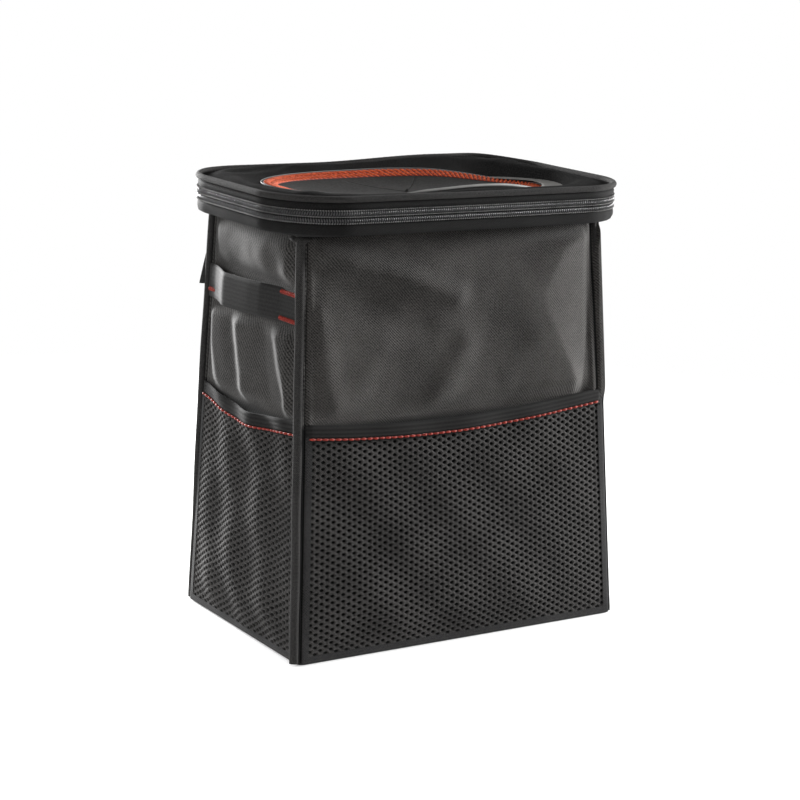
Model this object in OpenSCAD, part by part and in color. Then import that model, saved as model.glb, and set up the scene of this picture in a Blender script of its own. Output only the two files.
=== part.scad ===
// Car trash bin: soft-sided box with a zipped lid, a slit rubber opening, net pockets,
// webbing loops on the sides and a hanging strap with a buckle on the back.
// Millimetres. Origin on the floor at the centre of the base, X right, Y back, Z up.

/* [Overall size] */
// Width of the base, side to side
body_w = 230; // [200:1:260]
// Depth of the base, front to back
body_d = 140; // [125:1:160]
// Height from the floor to the top of the lid
body_h = 280; // [250:1:320]

/* [Wall taper] */
// How far the front wall leans back over its height
front_lean = 24; // [14:1:28]
// How far the back wall leans in over its height
back_lean = 3; // [0:1:6]
// How far each side wall leans in over its height
side_lean = 10; // [6:1:14]

/* [Wall layers] */
// Thickness of the outer cloth
cloth_t = 0.8; // [0.6:0.1:1.2]
// Thickness of the stiffening boards
board_t = 1.4; // [1:0.1:2]
// Thickness of the waterproof liner
liner_t = 0.5; // [0.4:0.1:0.8]
// Air left between two neighbouring layers
layer_gap = 0.3; // [0.3:0.05:0.4]
// Diameter of the piping along the corners
piping_d = 5; // [4:0.1:5.2]
// How far the cloth folds stand out
fold_h = 4; // [2:0.25:5]

/* [Rim and lid] */
// Rim overhang past the neck at the front
rim_out_front = 19; // [15:1:22]
// Rim overhang past the neck at the back
rim_out_back = 12; // [10:1:15]
// Rim overhang past the neck at each side
rim_out_side = 19; // [15:1:22]
// Corner radius of the rim seen from above
rim_r = 40; // [34:1:44]
// Height from the neck to the middle of the zipper
rim_h = 13; // [12:0.5:16]
// Height from the middle of the zipper to the top of the lid
lid_h = 17; // [16:0.5:20]
// Diameter of the piping round the lid
lid_piping_d = 3.8; // [3:0.1:4]
// Height from the middle of the zipper to the middle of the piping
lid_piping_rise = 10.4; // [10:0.1:11]
// Height of the cloth strip that the lid folds on
hinge_strip_h = 10; // [8:0.5:12]
// Thickness of the foam inside the lid
lid_foam_t = 2.8; // [2:0.1:3.2]

/* [Zipper] */
// Distance from one tooth to the next
tooth_pitch = 3; // [2.6:0.1:4]
// Width of one tooth
tooth_w = 1.1; // [0.9:0.05:1.2]
// Length of the part of a tooth that reaches past its cord
tooth_l = 3; // [2.6:0.1:3.1]
// Thickness of the zipper tapes
tape_t = 0.8; // [0.6:0.1:1]
// Height of each zipper tape
tape_h = 3.6; // [3.4:0.1:3.8]
// How far round the left rear corner the teeth run, in degrees
tooth_end_angle = 55; // [30:1:70]
// Length of the slider
slider_l = 10; // [8:0.5:12]
// Length of the pull tab
pull_l = 24; // [18:1:30]

/* [Opening in the lid] */
// Width of the rubber sheet
oval_w = 200; // [170:1:206]
// Depth of the rubber sheet
oval_d = 96; // [84:1:100]
// How far the sheet overlaps the cloth around it
oval_hem = 11; // [9:0.5:13]
// How far the middle of the sheet lies behind the base centre
oval_y = 7; // [4:0.5:9]
// Thickness of the rubber sheet
sheet_t = 1.8; // [1.2:0.1:2]
// Length of each of the two crossing cuts
slit_l = 84; // [60:1:86]
// Angle of the cuts from the long axis, in degrees
slit_angle = 51; // [35:1:55]
// Width of a cut
slit_w = 0.9; // [0.6:0.1:1.2]
// Number of stitch peaks around the sheet
stitch_count = 96; // [80:2:110]

/* [Net pockets] */
// Height of the pocket mouth at the seams
pocket_h = 142; // [125:1:150]
// Sag of the pocket mouth in the middle
pocket_sag = 5; // [3:0.5:7]
// Height of the elastic binding
binding_h = 9.5; // [8:0.5:12]
// How far the front net stands off the wall in the middle
front_bulge = 8; // [7:0.5:10]
// How far the side nets stand off the wall in the middle
side_bulge = 7.5; // [6.5:0.5:9]
// Distance from one net hole to the next
net_pitch = 16; // [15.5:0.5:20]
// Width of the net between two holes
net_rib = 2; // [1.6:0.1:3]

/* [Straps and buckle] */
// Width of the side loops
loop_w = 20; // [16:1:24]
// Middle of the side loops below the neck
loop_drop = 45; // [38:1:55]
// Thickness of the webbing
webbing_t = 1.5; // [1.2:0.1:2]
// Clear depth behind a side loop
loop_clear = 7; // [6:0.5:8]
// Length of a side loop's front end that is sewn down
loop_sewn_front = 22; // [14:1:26]
// Length of a side loop's rear end that is sewn down
loop_sewn_rear = 11; // [8:1:16]
// Width of the hanging strap
strap_w = 30; // [25:1:32]
// Middle of the hanging strap below the neck
strap_drop = 31.5; // [30:0.5:45]
// Clear depth behind the hanging strap
strap_clear = 6.5; // [6:0.5:7]
// Length of each end of the hanging strap that is sewn down
strap_sewn = 12; // [8:1:16]
// Length of each buckle half without its prongs
buckle_l = 30; // [26:1:34]

/* [Output] */
// Piece to draw, or all of them

/* [Hidden] */
$fn = 64;
seam = 1; // cloth turned over at a seam
trim_gap = 0.1; // thread and tacks over what they hold
neck_z = body_h - lid_h - rim_h;
zip_z = neck_z + rim_h;
loop_z = neck_z - loop_drop;
strap_z = neck_z - strap_drop;
neck_hw = body_w / 2 - side_lean;
neck_f = body_d / 2 - front_lean; // neck to centre, front
neck_b = body_d / 2 - back_lean; // neck to centre, back
lean_f = asin(front_lean / neck_z);
lean_b = asin(back_lean / neck_z);
lean_s = asin(side_lean / neck_z);
function lean(side) = side == 0 ? lean_f : side == 1 ? lean_b : lean_s;
rim_hw = neck_hw + rim_out_side;
rim_f = neck_f + rim_out_front;
rim_b = neck_b + rim_out_back;
base_t = cloth_t + 0.2; // thicker cloth under the base
wall_v0 = base_t + layer_gap;
board_w0 = cloth_t + layer_gap;
board_w1 = board_w0 + board_t;
liner_w0 = board_w1 + layer_gap;
liner_w1 = liner_w0 + liner_t;
side_clear = piping_d / 2 + layer_gap; // wall edge to corner line
base_board_t = board_t * 1.4;
liner_z0 = wall_v0 + base_board_t + layer_gap;

// Wall positions at height z
function hw(z) = body_w / 2 - side_lean * z / neck_z;
function yf(z) = -body_d / 2 + front_lean * z / neck_z;
function yb(z) = body_d / 2 - back_lean * z / neck_z;

// Zipper levels
row_gap = 0.8; // tip of a tooth to the other cord
cord_h = 1.6; // cord that carries the teeth
low_cord_z1 = zip_z - (tooth_l + row_gap) / 2;
low_cord_z0 = low_cord_z1 - cord_h;
up_cord_z0 = zip_z + (tooth_l + row_gap) / 2;
up_cord_z1 = up_cord_z0 + cord_h;
tape_split = 0.7; // half the opening between the tapes
tape_z0 = zip_z - tape_split - tape_h;
tape_z1 = zip_z + tape_split + tape_h;
tape_out = -0.5; // outer face of the tapes from the rim line
tooth_in = tape_out + layer_gap;
tooth_t = 1.5;
tooth_out = tooth_in + tooth_t;

// Lid levels
lid_band_z0 = tape_z1 + layer_gap;
lid_piping_z = zip_z + lid_piping_rise;
lid_band_z1 = lid_piping_z - lid_piping_d / 2 - layer_gap;
lid_band_in = -1.6; // faces of the lid band from the rim line
lid_band_out = 0.2;
lid_in = -2.4; // inner layers from the rim line
lining_z0 = tape_z1 + 0.6;
lining_t = 0.6;
foam_z0 = lining_z0 + lining_t + layer_gap;
top_z0 = foam_z0 + lid_foam_t + layer_gap;
top_edge_z = top_z0 + cloth_t;
plateau_z = top_edge_z + 0.9;
crest_z = body_h;
sheet_z0 = plateau_z + layer_gap;
sheet_z1 = sheet_z0 + sheet_t;
lid_piping_o = -0.3; // middle of the piping from the rim line
top_out = lid_piping_o - lid_piping_d / 2 - 0.15; // edge of the top

// Travel and pose lengths
straight_y0 = -rim_f + rim_r; // straight part of the side
straight_y1 = rim_b - rim_r;
slider_y = straight_y1 - slider_l / 2 - 2;
teeth_y1 = slider_y + slider_l / 2 - 4; // last tooth at the right
slider_gap = 0.35;
slider_plate = 1.1;
slider_x0 = rim_hw + tooth_out + slider_gap;
slider_in = tape_out - tape_t - slider_gap;
pull_t = 1.6;
pivot_x = slider_x0 + slider_plate + 2.2;
pivot_y = slider_y;

// Wall frames: X along the wall, Y inwards from its outer face, Z up the slope
module on_front() translate([0, -body_d / 2, 0]) rotate([-lean_f, 0, 0]) children();
module on_back() translate([0, body_d / 2, 0]) rotate([0, 0, 180]) rotate([-lean_b, 0, 0]) children();
module on_left() translate([-body_w / 2, 0, 0]) rotate([0, 0, -90]) rotate([-lean_s, 0, 0]) children();
module on_right() translate([body_w / 2, 0, 0]) rotate([0, 0, 90]) rotate([-lean_s, 0, 0]) children();

// Wall edges in a wall frame: side 0 front, 1 back, 2 left, 3 right
function edge_lo(side, v) =
  side == 0 ? -hw(v) : side == 1 ? -hw(v) : side == 2 ? -yb(v) : yf(v);
function edge_hi(side, v) =
  side == 0 ? hw(v) : side == 1 ? hw(v) : side == 2 ? -yf(v) : yb(v);

// Flat plate in a wall frame, inset from the wall's edges, from depth w0 inwards
module wall_plate(side, inset, v0, v1, w0, t) {
  translate([0, w0 + t, 0]) rotate([90, 0, 0]) linear_extrude(t)
    polygon([
      [edge_lo(side, v0) + inset, v0],
      [edge_hi(side, v0) - inset, v0],
      [edge_hi(side, v1) - inset, v1],
      [edge_lo(side, v1) + inset, v1]]);
}

// Soft folds of the cloth
function seg_t(p, a, b) =
  max(0, min(1, ((p - a) * (b - a)) / max(0.001, (b - a) * (b - a))));
function seg_d(p, a, b) = norm(p - a - (b - a) * seg_t(p, a, b));
function ridge(p, a, b, w) = exp(-pow(seg_d(p, a, b) / w, 2));
function step_up(x) = let (c = max(0, min(1, x))) c * c * (3 - 2 * c);
function edge_fade(side, u, v) =
  step_up((u - edge_lo(side, v) - side_clear) / 12)
  * step_up((edge_hi(side, v) - side_clear - u) / 12)
  * step_up((neck_z - v) / 10)
  * step_up((v - wall_v0) / 10);
// Share of the height at which the net pockets end and the upper cloth starts
function upper(v) = step_up((v - pocket_h - 2) / 22);
function loop_mask(v) = step_up((abs(v - loop_z) - loop_w / 2 - 2) / 9);
function fx(k) = k * neck_hw; // across the front, as a share of the half width
function fz(k) = k * neck_z; // up the wall, as a share of its height
function fold_front(u, v) = let (p = [u, v])
  upper(v) * (0.45 * exp(-pow((u + fx(0.05)) / fx(0.75), 2))
    + 0.55 * ridge(p, [fx(-0.98), fz(0.985)], [fx(-0.08), fz(0.85)], fx(0.09))
    + 0.6 * ridge(p, [fx(0.94), fz(0.99)], [fx(0.62), fz(0.835)], fx(0.085))
    + 0.6 * ridge(p, [fx(0.62), fz(0.835)], [fx(0.85), fz(0.6)], fx(0.1))
    + 0.3 * ridge(p, [fx(-0.06), fz(0.7)], [fx(-0.25), fz(0.56)], fx(0.14)));
function fold_side(q, u, v) = let (p = [u, v], s = body_d / 2)
  upper(v) * loop_mask(v) * (0.35 * exp(-pow(u / (0.9 * s), 2))
    + 0.6 * ridge(p, [q * -0.95 * s, fz(0.68)], [q * -0.78 * s, fz(0.57)], 0.09 * s)
    + 0.6 * ridge(p, [q * -0.4 * s, fz(0.74)], [q * -0.25 * s, fz(0.56)], 0.1 * s)
    + 0.6 * ridge(p, [q * 0.2 * s, fz(0.74)], [q * 0.5 * s, fz(0.57)], 0.1 * s)
    + 0.5 * ridge(p, [q * -0.6 * s, fz(0.95)], [q * 0.1 * s, fz(0.93)], 0.14 * s));
function fold(side, u, v) =
  fold_h * edge_fade(side, u, v) * min(1,
    side == 0 ? fold_front(u, v)
    : side == 1 ? 0.12 * exp(-pow(u / fx(0.8), 2))
    : side == 2 ? fold_side(1, u, v) : fold_side(-1, u, v));

// Cloth wall: flat inner face, folded outer face
module cloth_wall(side, nu, nv) {
  v1 = neck_z / cos(lean(side)) - layer_gap;
  outer = [for (j = [0:nv]) for (i = [0:nu])
    let (v = wall_v0 + (v1 - wall_v0) * j / nv,
      a = edge_lo(side, v) + side_clear,
      b = edge_hi(side, v) - side_clear,
      u = a + (b - a) * i / nu)
    [u, -fold(side, u, v), v]];
  inner = [for (p = outer) [p[0], cloth_t, p[2]]];
  n = nu + 1;
  last = n * (nv + 1);
  rim = concat(
    [for (i = [0:nu]) i],
    [for (j = [1:nv]) j * n + nu],
    [for (i = [nu - 1:-1:0]) nv * n + i],
    [for (j = [nv - 1:-1:1]) j * n]);
  m = len(rim);
  back = [for (k = rim) inner[k]];
  mid = [0, cloth_t, (wall_v0 + v1) / 2];
  polyhedron(
    points = concat(outer, back, [mid]),
    faces = concat(
      [for (j = [0:nv - 1]) for (i = [0:nu - 1]) [j * n + i, (j + 1) * n + i, j * n + i + 1]],
      [for (j = [0:nv - 1]) for (i = [0:nu - 1]) [j * n + i + 1, (j + 1) * n + i, (j + 1) * n + i + 1]],
      [for (k = [0:m - 1]) [rim[k], rim[(k + 1) % m], last + k]],
      [for (k = [0:m - 1]) [rim[(k + 1) % m], last + (k + 1) % m, last + k]],
      [for (k = [0:m - 1]) [last + m, last + k, last + (k + 1) % m]]),
    convexity = 6);
}

// Straight-sided tapered block that follows the four walls at depth w
module taper(w, z0, z1) {
  function ring(z) = [
    [-hw(z) + w, yf(z) + w, z], [hw(z) - w, yf(z) + w, z],
    [hw(z) - w, yb(z) - w, z], [-hw(z) + w, yb(z) - w, z]];
  polyhedron(
    points = concat(ring(z0), ring(z1)),
    faces = [[0, 1, 2, 3], [7, 6, 5, 4], [0, 4, 5, 1], [1, 5, 6, 2], [2, 6, 7, 3], [3, 7, 4, 0]]);
}

// Outline of the rim, grown by off, as a profile
module rim_profile(off) {
  r = rim_r + off;
  for (x = [-1, 1]) {
    translate([x * (rim_hw - rim_r), -rim_f + rim_r]) circle(r, $fn = 96);
    translate([x * (rim_hw - rim_r), rim_b - rim_r]) circle(r, $fn = 96);
  }
  translate([-rim_hw + rim_r, -rim_f - off])
    square([2 * (rim_hw - rim_r), rim_f + rim_b + 2 * off]);
  translate([-rim_hw - off, -rim_f + rim_r])
    square([2 * (rim_hw + off), rim_f + rim_b - 2 * rim_r]);
}
module rim_ring(off0, off1, z0, z1) {
  translate([0, 0, z0]) linear_extrude(z1 - z0) difference() {
    rim_profile(off1);
    rim_profile(off0);
  }
}

// Neck outline grown by off, small corners
module neck_profile(off, r) {
  translate([-neck_hw - off + r, -neck_f - off + r])
    square([2 * (neck_hw + off - r), neck_f + neck_b + 2 * (off - r)]);
  for (x = [-1, 1]) for (y = [-neck_f - off + r, neck_b + off - r])
    translate([x * (neck_hw + off - r), y]) circle(r, $fn = 24);
  translate([-neck_hw - off, -neck_f - off + r])
    square([2 * (neck_hw + off), neck_f + neck_b + 2 * (off - r)]);
  translate([-neck_hw - off + r, -neck_f - off])
    square([2 * (neck_hw + off - r), neck_f + neck_b + 2 * off]);
}

// Base

module base_panel() color("#2b2b2d") linear_extrude(base_t) {
  r = 4;
  square([body_w - 2 * r, body_d], center = true);
  square([body_w, body_d - 2 * r], center = true);
  for (x = [-1, 1]) for (y = [-1, 1])
    translate([x * (body_w / 2 - r), y * (body_d / 2 - r)]) circle(r);
}

module base_board() color("#3a3632") {
  w = body_w - 2 * (board_w1 + layer_gap + 1);
  d = body_d - 2 * (board_w1 + layer_gap + 1);
  translate([-w / 2, -d / 2, wall_v0]) cube([w, d, base_board_t]);
}

// Boards: front and back stand between the two side boards
module board(side) {
  inset = side < 2 ? board_w1 + layer_gap : side_clear;
  wall_plate(side, inset, wall_v0, neck_z - layer_gap, board_w0, board_t);
}
module front_board() color("#45403a") on_front() board(0);
module back_board() color("#45403a") on_back() board(1);
module left_board() color("#45403a") on_left() board(2);
module right_board() color("#45403a") on_right() board(3);

// Outer cloth
module front_panel() color("#303033") on_front() cloth_wall(0, 26, 24);
module back_panel() color("#303033") on_back() cloth_wall(1, 10, 8);
module left_panel() color("#303033") on_left() cloth_wall(2, 16, 24);
module right_panel() color("#303033") on_right() cloth_wall(3, 16, 24);

module liner() color("#5b5c60") difference() {
  taper(liner_w0, liner_z0, neck_z);
  taper(liner_w1, liner_z0 + liner_t, neck_z + seam);
}

// Corner piping from the base to the neck
module corner_piping(x, y0, y1) {
  a = [x * body_w / 2, y0, wall_v0];
  b = [x * neck_hw, y1, neck_z];
  d = b - a;
  l = norm(d) - layer_gap;
  translate(a) rotate([0, acos(d[2] / norm(d)), atan2(d[1], d[0])])
    cylinder(h = l, d = piping_d);
}
module corner_piping_fl() color("#1d1d1f") corner_piping(-1, -body_d / 2, -neck_f);
module corner_piping_fr() color("#1d1d1f") corner_piping(1, -body_d / 2, -neck_f);
module corner_piping_bl() color("#1d1d1f") corner_piping(-1, body_d / 2, neck_b);
module corner_piping_br() color("#1d1d1f") corner_piping(1, body_d / 2, neck_b);

// Net pockets. The net is an arc in plan, its ends just off the wall
net_t = 0.8;
binding_t = 1.8;
net_v0 = wall_v0 + 4;
net_end = 0.5; // the net stops this far short of the wall's face, along the wall
function net_hw(side) =
  (side == 0 ? hw(pocket_h) : (yb(pocket_h) - yf(pocket_h)) / 2) - side_clear;
function net_mid(side) = side == 0 ? 0
  : (side == 2 ? -1 : 1) * (yb(pocket_h) + yf(pocket_h)) / 2;
function net_bulge(side) = side == 0 ? front_bulge : side_bulge;
function arc_r(c, s) = (c * c + s * s) / (2 * s);
// Curved wall between offsets a and b from the net's middle surface
module net_shell(side, a, b, v0, v1) {
  s = net_bulge(side);
  c = net_hw(side);
  r = arc_r(c, s);
  lift = layer_gap + binding_t / 2;
  intersection() {
    translate([net_mid(side), r - s - lift, v0]) difference() {
      cylinder(h = v1 - v0, r = r + b, $fn = 200);
      translate([0, 0, -1]) cylinder(h = v1 - v0 + 2, r = r + a, $fn = 200);
    }
    translate([net_mid(side) - c + net_end, -s - lift - binding_t - 1, v0])
      cube([2 * (c - net_end), s + lift + binding_t + 4, v1 - v0]);
  }
}
// Band across the pocket with a sagging outline, from height lo to hi at the seams
module sag_band(side, lo, hi) {
  c = net_hw(side);
  r = arc_r(c, pocket_sag);
  w = 40;
  translate([net_mid(side), w / 2, 0]) rotate([90, 0, 0]) linear_extrude(w)
    difference() {
      translate([-c - 1, 0]) square([2 * c + 2, hi]);
      translate([0, hi - pocket_sag + r]) circle(r, $fn = 240);
      if (lo > 0) difference() {
        translate([-c - 2, -1]) square([2 * c + 4, lo + 1]);
        translate([0, lo - pocket_sag + r]) circle(r, $fn = 240);
      }
    }
}
module net_holes(side) {
  c = net_hw(side) - 5;
  rows = floor((pocket_h - binding_h - pocket_sag - net_v0 - 8) / (net_pitch * 0.866));
  cols = floor(2 * c / net_pitch);
  r = (net_pitch - net_rib) / 2 / cos(30);
  for (j = [0:rows - 1]) for (i = [0:cols - 1 - j % 2])
    translate([
      net_mid(side) + (i - (cols - 1 - j % 2) / 2) * net_pitch,
      1,
      net_v0 + 3 + r + j * net_pitch * 0.866])
    rotate([90, 30, 0]) cylinder(h = 30, r = r, $fn = 6);
}
module net(side) {
  difference() {
    intersection() {
      net_shell(side, -net_t / 2, net_t / 2, net_v0, pocket_h);
      sag_band(side, 0, pocket_h - binding_h - layer_gap);
    }
    net_holes(side);
  }
  // Gathered hem that closes the pocket at the bottom
  s = net_bulge(side);
  r = arc_r(net_hw(side), s);
  lift = layer_gap + binding_t / 2;
  intersection() {
    translate([net_mid(side), r - s - lift, net_v0])
      cylinder(h = seam + net_t, r = r + net_t / 2, $fn = 200);
    translate([net_mid(side) - net_hw(side) + net_end, -s - lift - net_t - 1, net_v0])
      cube([2 * (net_hw(side) - net_end), s + lift + net_t + 1 - layer_gap, seam + net_t]);
  }
}
module binding(side) intersection() {
  net_shell(side, -binding_t / 2, binding_t / 2, pocket_h - binding_h - pocket_sag - 1, pocket_h);
  sag_band(side, pocket_h - binding_h, pocket_h);
}
module pocket_stitch(side) intersection() {
  a = binding_t / 2 + trim_gap;
  net_shell(side, a, a + 0.5, pocket_h - binding_h - pocket_sag - 1, pocket_h);
  sag_band(side, pocket_h - binding_h + 1.4, pocket_h - binding_h + 2.4);
}
module front_mesh() color("#3c3c40") on_front() net(0);
module front_binding() color("#19191b") on_front() binding(0);
module front_pocket_stitch() color("#b3261c") on_front() pocket_stitch(0);
module left_mesh() color("#3c3c40") on_left() net(2);
module left_binding() color("#19191b") on_left() binding(2);
module left_pocket_stitch() color("#b3261c") on_left() pocket_stitch(2);
module right_mesh() color("#3c3c40") on_right() net(3);
module right_binding() color("#19191b") on_right() binding(3);
module right_pocket_stitch() color("#b3261c") on_right() pocket_stitch(3);

// Side loops: webbing sewn down at both ends and standing off between
// Ends at the corner seams, in a side frame
function loop_end(q) = q * (-yf(loop_z + loop_w / 2) - side_clear - layer_gap);
function loop_rear(q) = -q * (yb(loop_z + loop_w / 2) - side_clear - layer_gap);
// Path of a band: positions along the wall and clear depth behind it
module band(path, t, z, w) {
  n = len(path);
  translate([0, 0, z - w / 2]) linear_extrude(w) polygon(concat(
    [for (p = path) [p[0], -p[1]]],
    [for (i = [n - 1:-1:0]) [path[i][0], -path[i][1] - t]]));
}
module loop(q) {
  a = loop_end(q);
  b = loop_rear(q);
  m = (b - a) / abs(b - a);
  band([
    [a, layer_gap],
    [a + m * loop_sewn_front, layer_gap],
    [a + m * (loop_sewn_front + 13), loop_clear * 0.8],
    [(a + b) / 2 + m * loop_sewn_rear / 2, loop_clear],
    [b - m * (loop_sewn_rear + 14), loop_clear],
    [b - m * (loop_sewn_rear + 4), loop_clear * 0.8],
    [b - m * loop_sewn_rear, layer_gap],
    [b, layer_gap]], webbing_t, loop_z, loop_w);
}
// Bar tacks: two across the front end, two across the rear end
module loop_tacks(q) {
  m = loop_rear(q) > loop_end(q) ? 1 : -1;
  w = layer_gap + webbing_t + trim_gap;
  for (e = [[loop_end(q) + m * loop_sewn_front / 2, loop_sewn_front],
      [loop_rear(q) - m * loop_sewn_rear / 2, loop_sewn_rear]])
    for (z = [loop_z - loop_w * 0.38, loop_z + loop_w * 0.38])
      translate([e[0] - e[1] * 0.45, -w - 0.5, z - 1]) cube([e[1] * 0.9, 0.5, 2]);
}
module left_loop() color("#232326") on_left() loop(1);
module right_loop() color("#232326") on_right() loop(-1);
module left_loop_tacks() color("#b3261c") on_left() loop_tacks(1);
module right_loop_tacks() color("#b3261c") on_right() loop_tacks(-1);

// Rim: cloth that turns out from the neck and stands up to the zipper as a skirt
module rim_band() color("#29292b") {
  z0 = neck_z + layer_gap;
  z1 = tape_z0 - layer_gap;
  e = 0.4;
  skirt_z0 = z0 + 2.2; // rounded foot of the skirt
  skirt_z1 = skirt_z0 + 1.5;
  difference() {
    hull() {
      translate([0, 0, z0]) linear_extrude(e) neck_profile(0.6, 3);
      translate([0, 0, skirt_z0]) linear_extrude(e) rim_profile(-1.2);
      translate([0, 0, skirt_z1]) linear_extrude(z1 - skirt_z1) rim_profile(0);
    }
    hull() {
      translate([0, 0, z0 - 1]) linear_extrude(1 + e) neck_profile(-liner_w1, 2);
      translate([0, 0, skirt_z1]) linear_extrude(z1 - skirt_z1 + 1) rim_profile(-2.2);
    }
  }
}

// Zipper
module lower_zipper_tape() color("#1a1a1c")
  rim_ring(tape_out - tape_t, tape_out, tape_z0, zip_z - tape_split);
module upper_zipper_tape() color("#1a1a1c")
  rim_ring(tape_out - tape_t, tape_out, zip_z + tape_split, tape_z1);

// One tooth standing on the cord, its middle on the path
module tooth(x) translate([x - tooth_w / 2, tooth_in + 0.2, -cord_h / 2])
  cube([tooth_w, tooth_t - 0.4, cord_h / 2 + tooth_l]);
// Teeth along a straight of length l, standing outwards past the line y = 0
module teeth_line(l, shift) {
  n = floor(l / tooth_pitch);
  for (i = [0:n - 1]) tooth((i + 0.25 + shift) * l / n);
}
// Teeth round a corner of the rim
module teeth_arc(angle, shift) {
  n = floor(angle * PI / 180 * (rim_r + tooth_in + tooth_t / 2) / tooth_pitch);
  for (i = [0:n - 1]) rotate([0, 0, (i + 0.25 + shift) * angle / n])
    rotate([0, 0, -90]) translate([0, rim_r, 0]) tooth(0);
}
// One row of teeth on its cord, the cord's edge at height 0
module tooth_row(shift) {
  x = rim_hw - rim_r;
  y0 = -rim_f + rim_r;
  y1 = rim_b - rim_r;
  far = 2 * rim_r;
  a = 180 - tooth_end_angle;
  difference() {
    rim_ring(tooth_in, tooth_in + tooth_t, -cord_h, 0);
    translate([0, 0, -cord_h - 1]) linear_extrude(cord_h + 2) polygon([
      [-x, y1],
      [-x + far * cos(a), y1 + far * sin(a)],
      [rim_hw + far, rim_b + far],
      [rim_hw + far, teeth_y1],
      [-x, teeth_y1]]);
  }
  translate([-x, y1, 0]) rotate([0, 0, a]) teeth_arc(tooth_end_angle, shift);
  translate([-rim_hw, y0, 0]) rotate([0, 0, 90]) teeth_line(y1 - y0, shift);
  translate([-x, y0, 0]) rotate([0, 0, 180]) teeth_arc(90, shift);
  translate([x, -rim_f, 0]) rotate([0, 0, 180]) teeth_line(2 * x, shift);
  translate([x, y0, 0]) rotate([0, 0, -90]) teeth_arc(90, shift);
  translate([rim_hw, teeth_y1, 0]) rotate([0, 0, -90]) teeth_line(teeth_y1 - y0, shift);
}
module lower_zipper_teeth() color("#6a6a6e") translate([0, 0, low_cord_z1]) tooth_row(0);
module upper_zipper_teeth() color("#6a6a6e") translate([0, 0, up_cord_z0])
  mirror([0, 0, 1]) tooth_row(0.5);

module zipper_stops() color("#6a6a6e") {
  h = low_cord_z1 - low_cord_z0 + 1.2;
  translate([rim_hw + tooth_in, straight_y1 - 1.6, low_cord_z0]) cube([tooth_t, 1.5, h]);
  translate([-rim_hw + rim_r, rim_b - rim_r, low_cord_z0])
    rotate([0, 0, 180 - tooth_end_angle - 4])
      translate([rim_r + tooth_in, 0, 0]) cube([tooth_t, 1.8, h]);
}

// Slider: outer and inner plate joined by a bridge that runs between the tapes
module zipper_slider() color("#8a8a90") {
  hz = tape_h + 0.2;
  translate([0, 0, zip_z]) {
    difference() {
      translate([slider_x0, slider_y - slider_l / 2, -hz]) cube([slider_plate, slider_l, 2 * hz]);
      for (s = [-1, 1]) translate([slider_x0 - 1, slider_y - slider_l / 2, s * hz])
        rotate([0, 90, 0]) rotate([0, 0, 45])
          cube([2.4, 2.4, 2 * (slider_plate + 2)], center = true);
    }
    x1 = rim_hw + slider_in;
    translate([x1 - slider_plate, slider_y - slider_l / 2, -hz])
      cube([slider_plate, slider_l, 2 * hz]);
    translate([x1 - slider_plate, slider_y + slider_l / 2 - 2.6, -tape_split + 0.2])
      cube([slider_x0 - x1 + 2 * slider_plate, 2.2, 2 * (tape_split - 0.2)]);
    // Lug that carries the pull on an upright pin
    for (s = [-1, 1]) translate([slider_x0, pivot_y - 1.2, s > 0 ? 1.5 : -2.5])
      cube([pivot_x - slider_x0, 2.4, 1]);
    for (s = [-1, 1]) translate([pivot_x, pivot_y, s > 0 ? 1.5 : -2.5]) cylinder(h = 1, r = 1.2);
    translate([pivot_x, pivot_y, -2.5]) cylinder(h = 5, r = 0.7);
  }
}
module zipper_pull() color("#77777c") {
  clear = 0.2;
  r = 0.7 + clear;
  translate([pivot_x, pivot_y, zip_z]) difference() {
    union() {
      translate([0, 0, -1.3]) cylinder(h = 2.6, r = 1.7);
      translate([-pull_t / 2, -pull_l + 3, -2.6]) cube([pull_t, pull_l - 5.5, 5.2]);
      translate([-pull_t / 2, -4, -1.3]) cube([pull_t, 3.6, 2.6]);
      translate([-pull_t / 2, -pull_l + 3, 0]) rotate([0, 90, 0]) cylinder(h = pull_t, r = 2.6);
    }
    translate([0, 0, -3]) cylinder(h = 6, r = r);
    translate([-pull_t, -pull_l + 3.4, 0]) rotate([0, 90, 0]) cylinder(h = 2 * pull_t, r = 1.3);
  }
}

// Lid
module lid_band() color("#29292b") rim_ring(lid_band_in, lid_band_out, lid_band_z0, lid_band_z1);
module lid_piping() color("#1d1d1f") {
  o = lid_piping_o;
  r = rim_r + o;
  x = rim_hw - rim_r;
  translate([0, 0, lid_piping_z]) {
    for (c = [[x, -rim_f + rim_r, -90], [x, rim_b - rim_r, 0], [-x, rim_b - rim_r, 90],
        [-x, -rim_f + rim_r, 180]])
      translate([c[0], c[1], 0]) rotate([0, 0, c[2]]) rotate_extrude(angle = 90, $fn = 96)
        translate([r, 0]) circle(d = lid_piping_d, $fn = 32);
    for (y = [-rim_f - o, rim_b + o]) translate([-x, y, 0]) rotate([0, 90, 0])
      cylinder(h = 2 * x, d = lid_piping_d, $fn = 32);
    for (s = [-1, 1]) translate([s * (rim_hw + o), -rim_f + rim_r, 0]) rotate([-90, 0, 0])
      cylinder(h = rim_f + rim_b - 2 * rim_r, d = lid_piping_d, $fn = 32);
  }
}
// Crown of the lid: rises from the piping, then falls to the hem of the oval
function oval_pt(a, grow) = [
  (oval_w / 2 + grow) * cos(a), oval_y + (oval_d / 2 + grow) * sin(a)];
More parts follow.
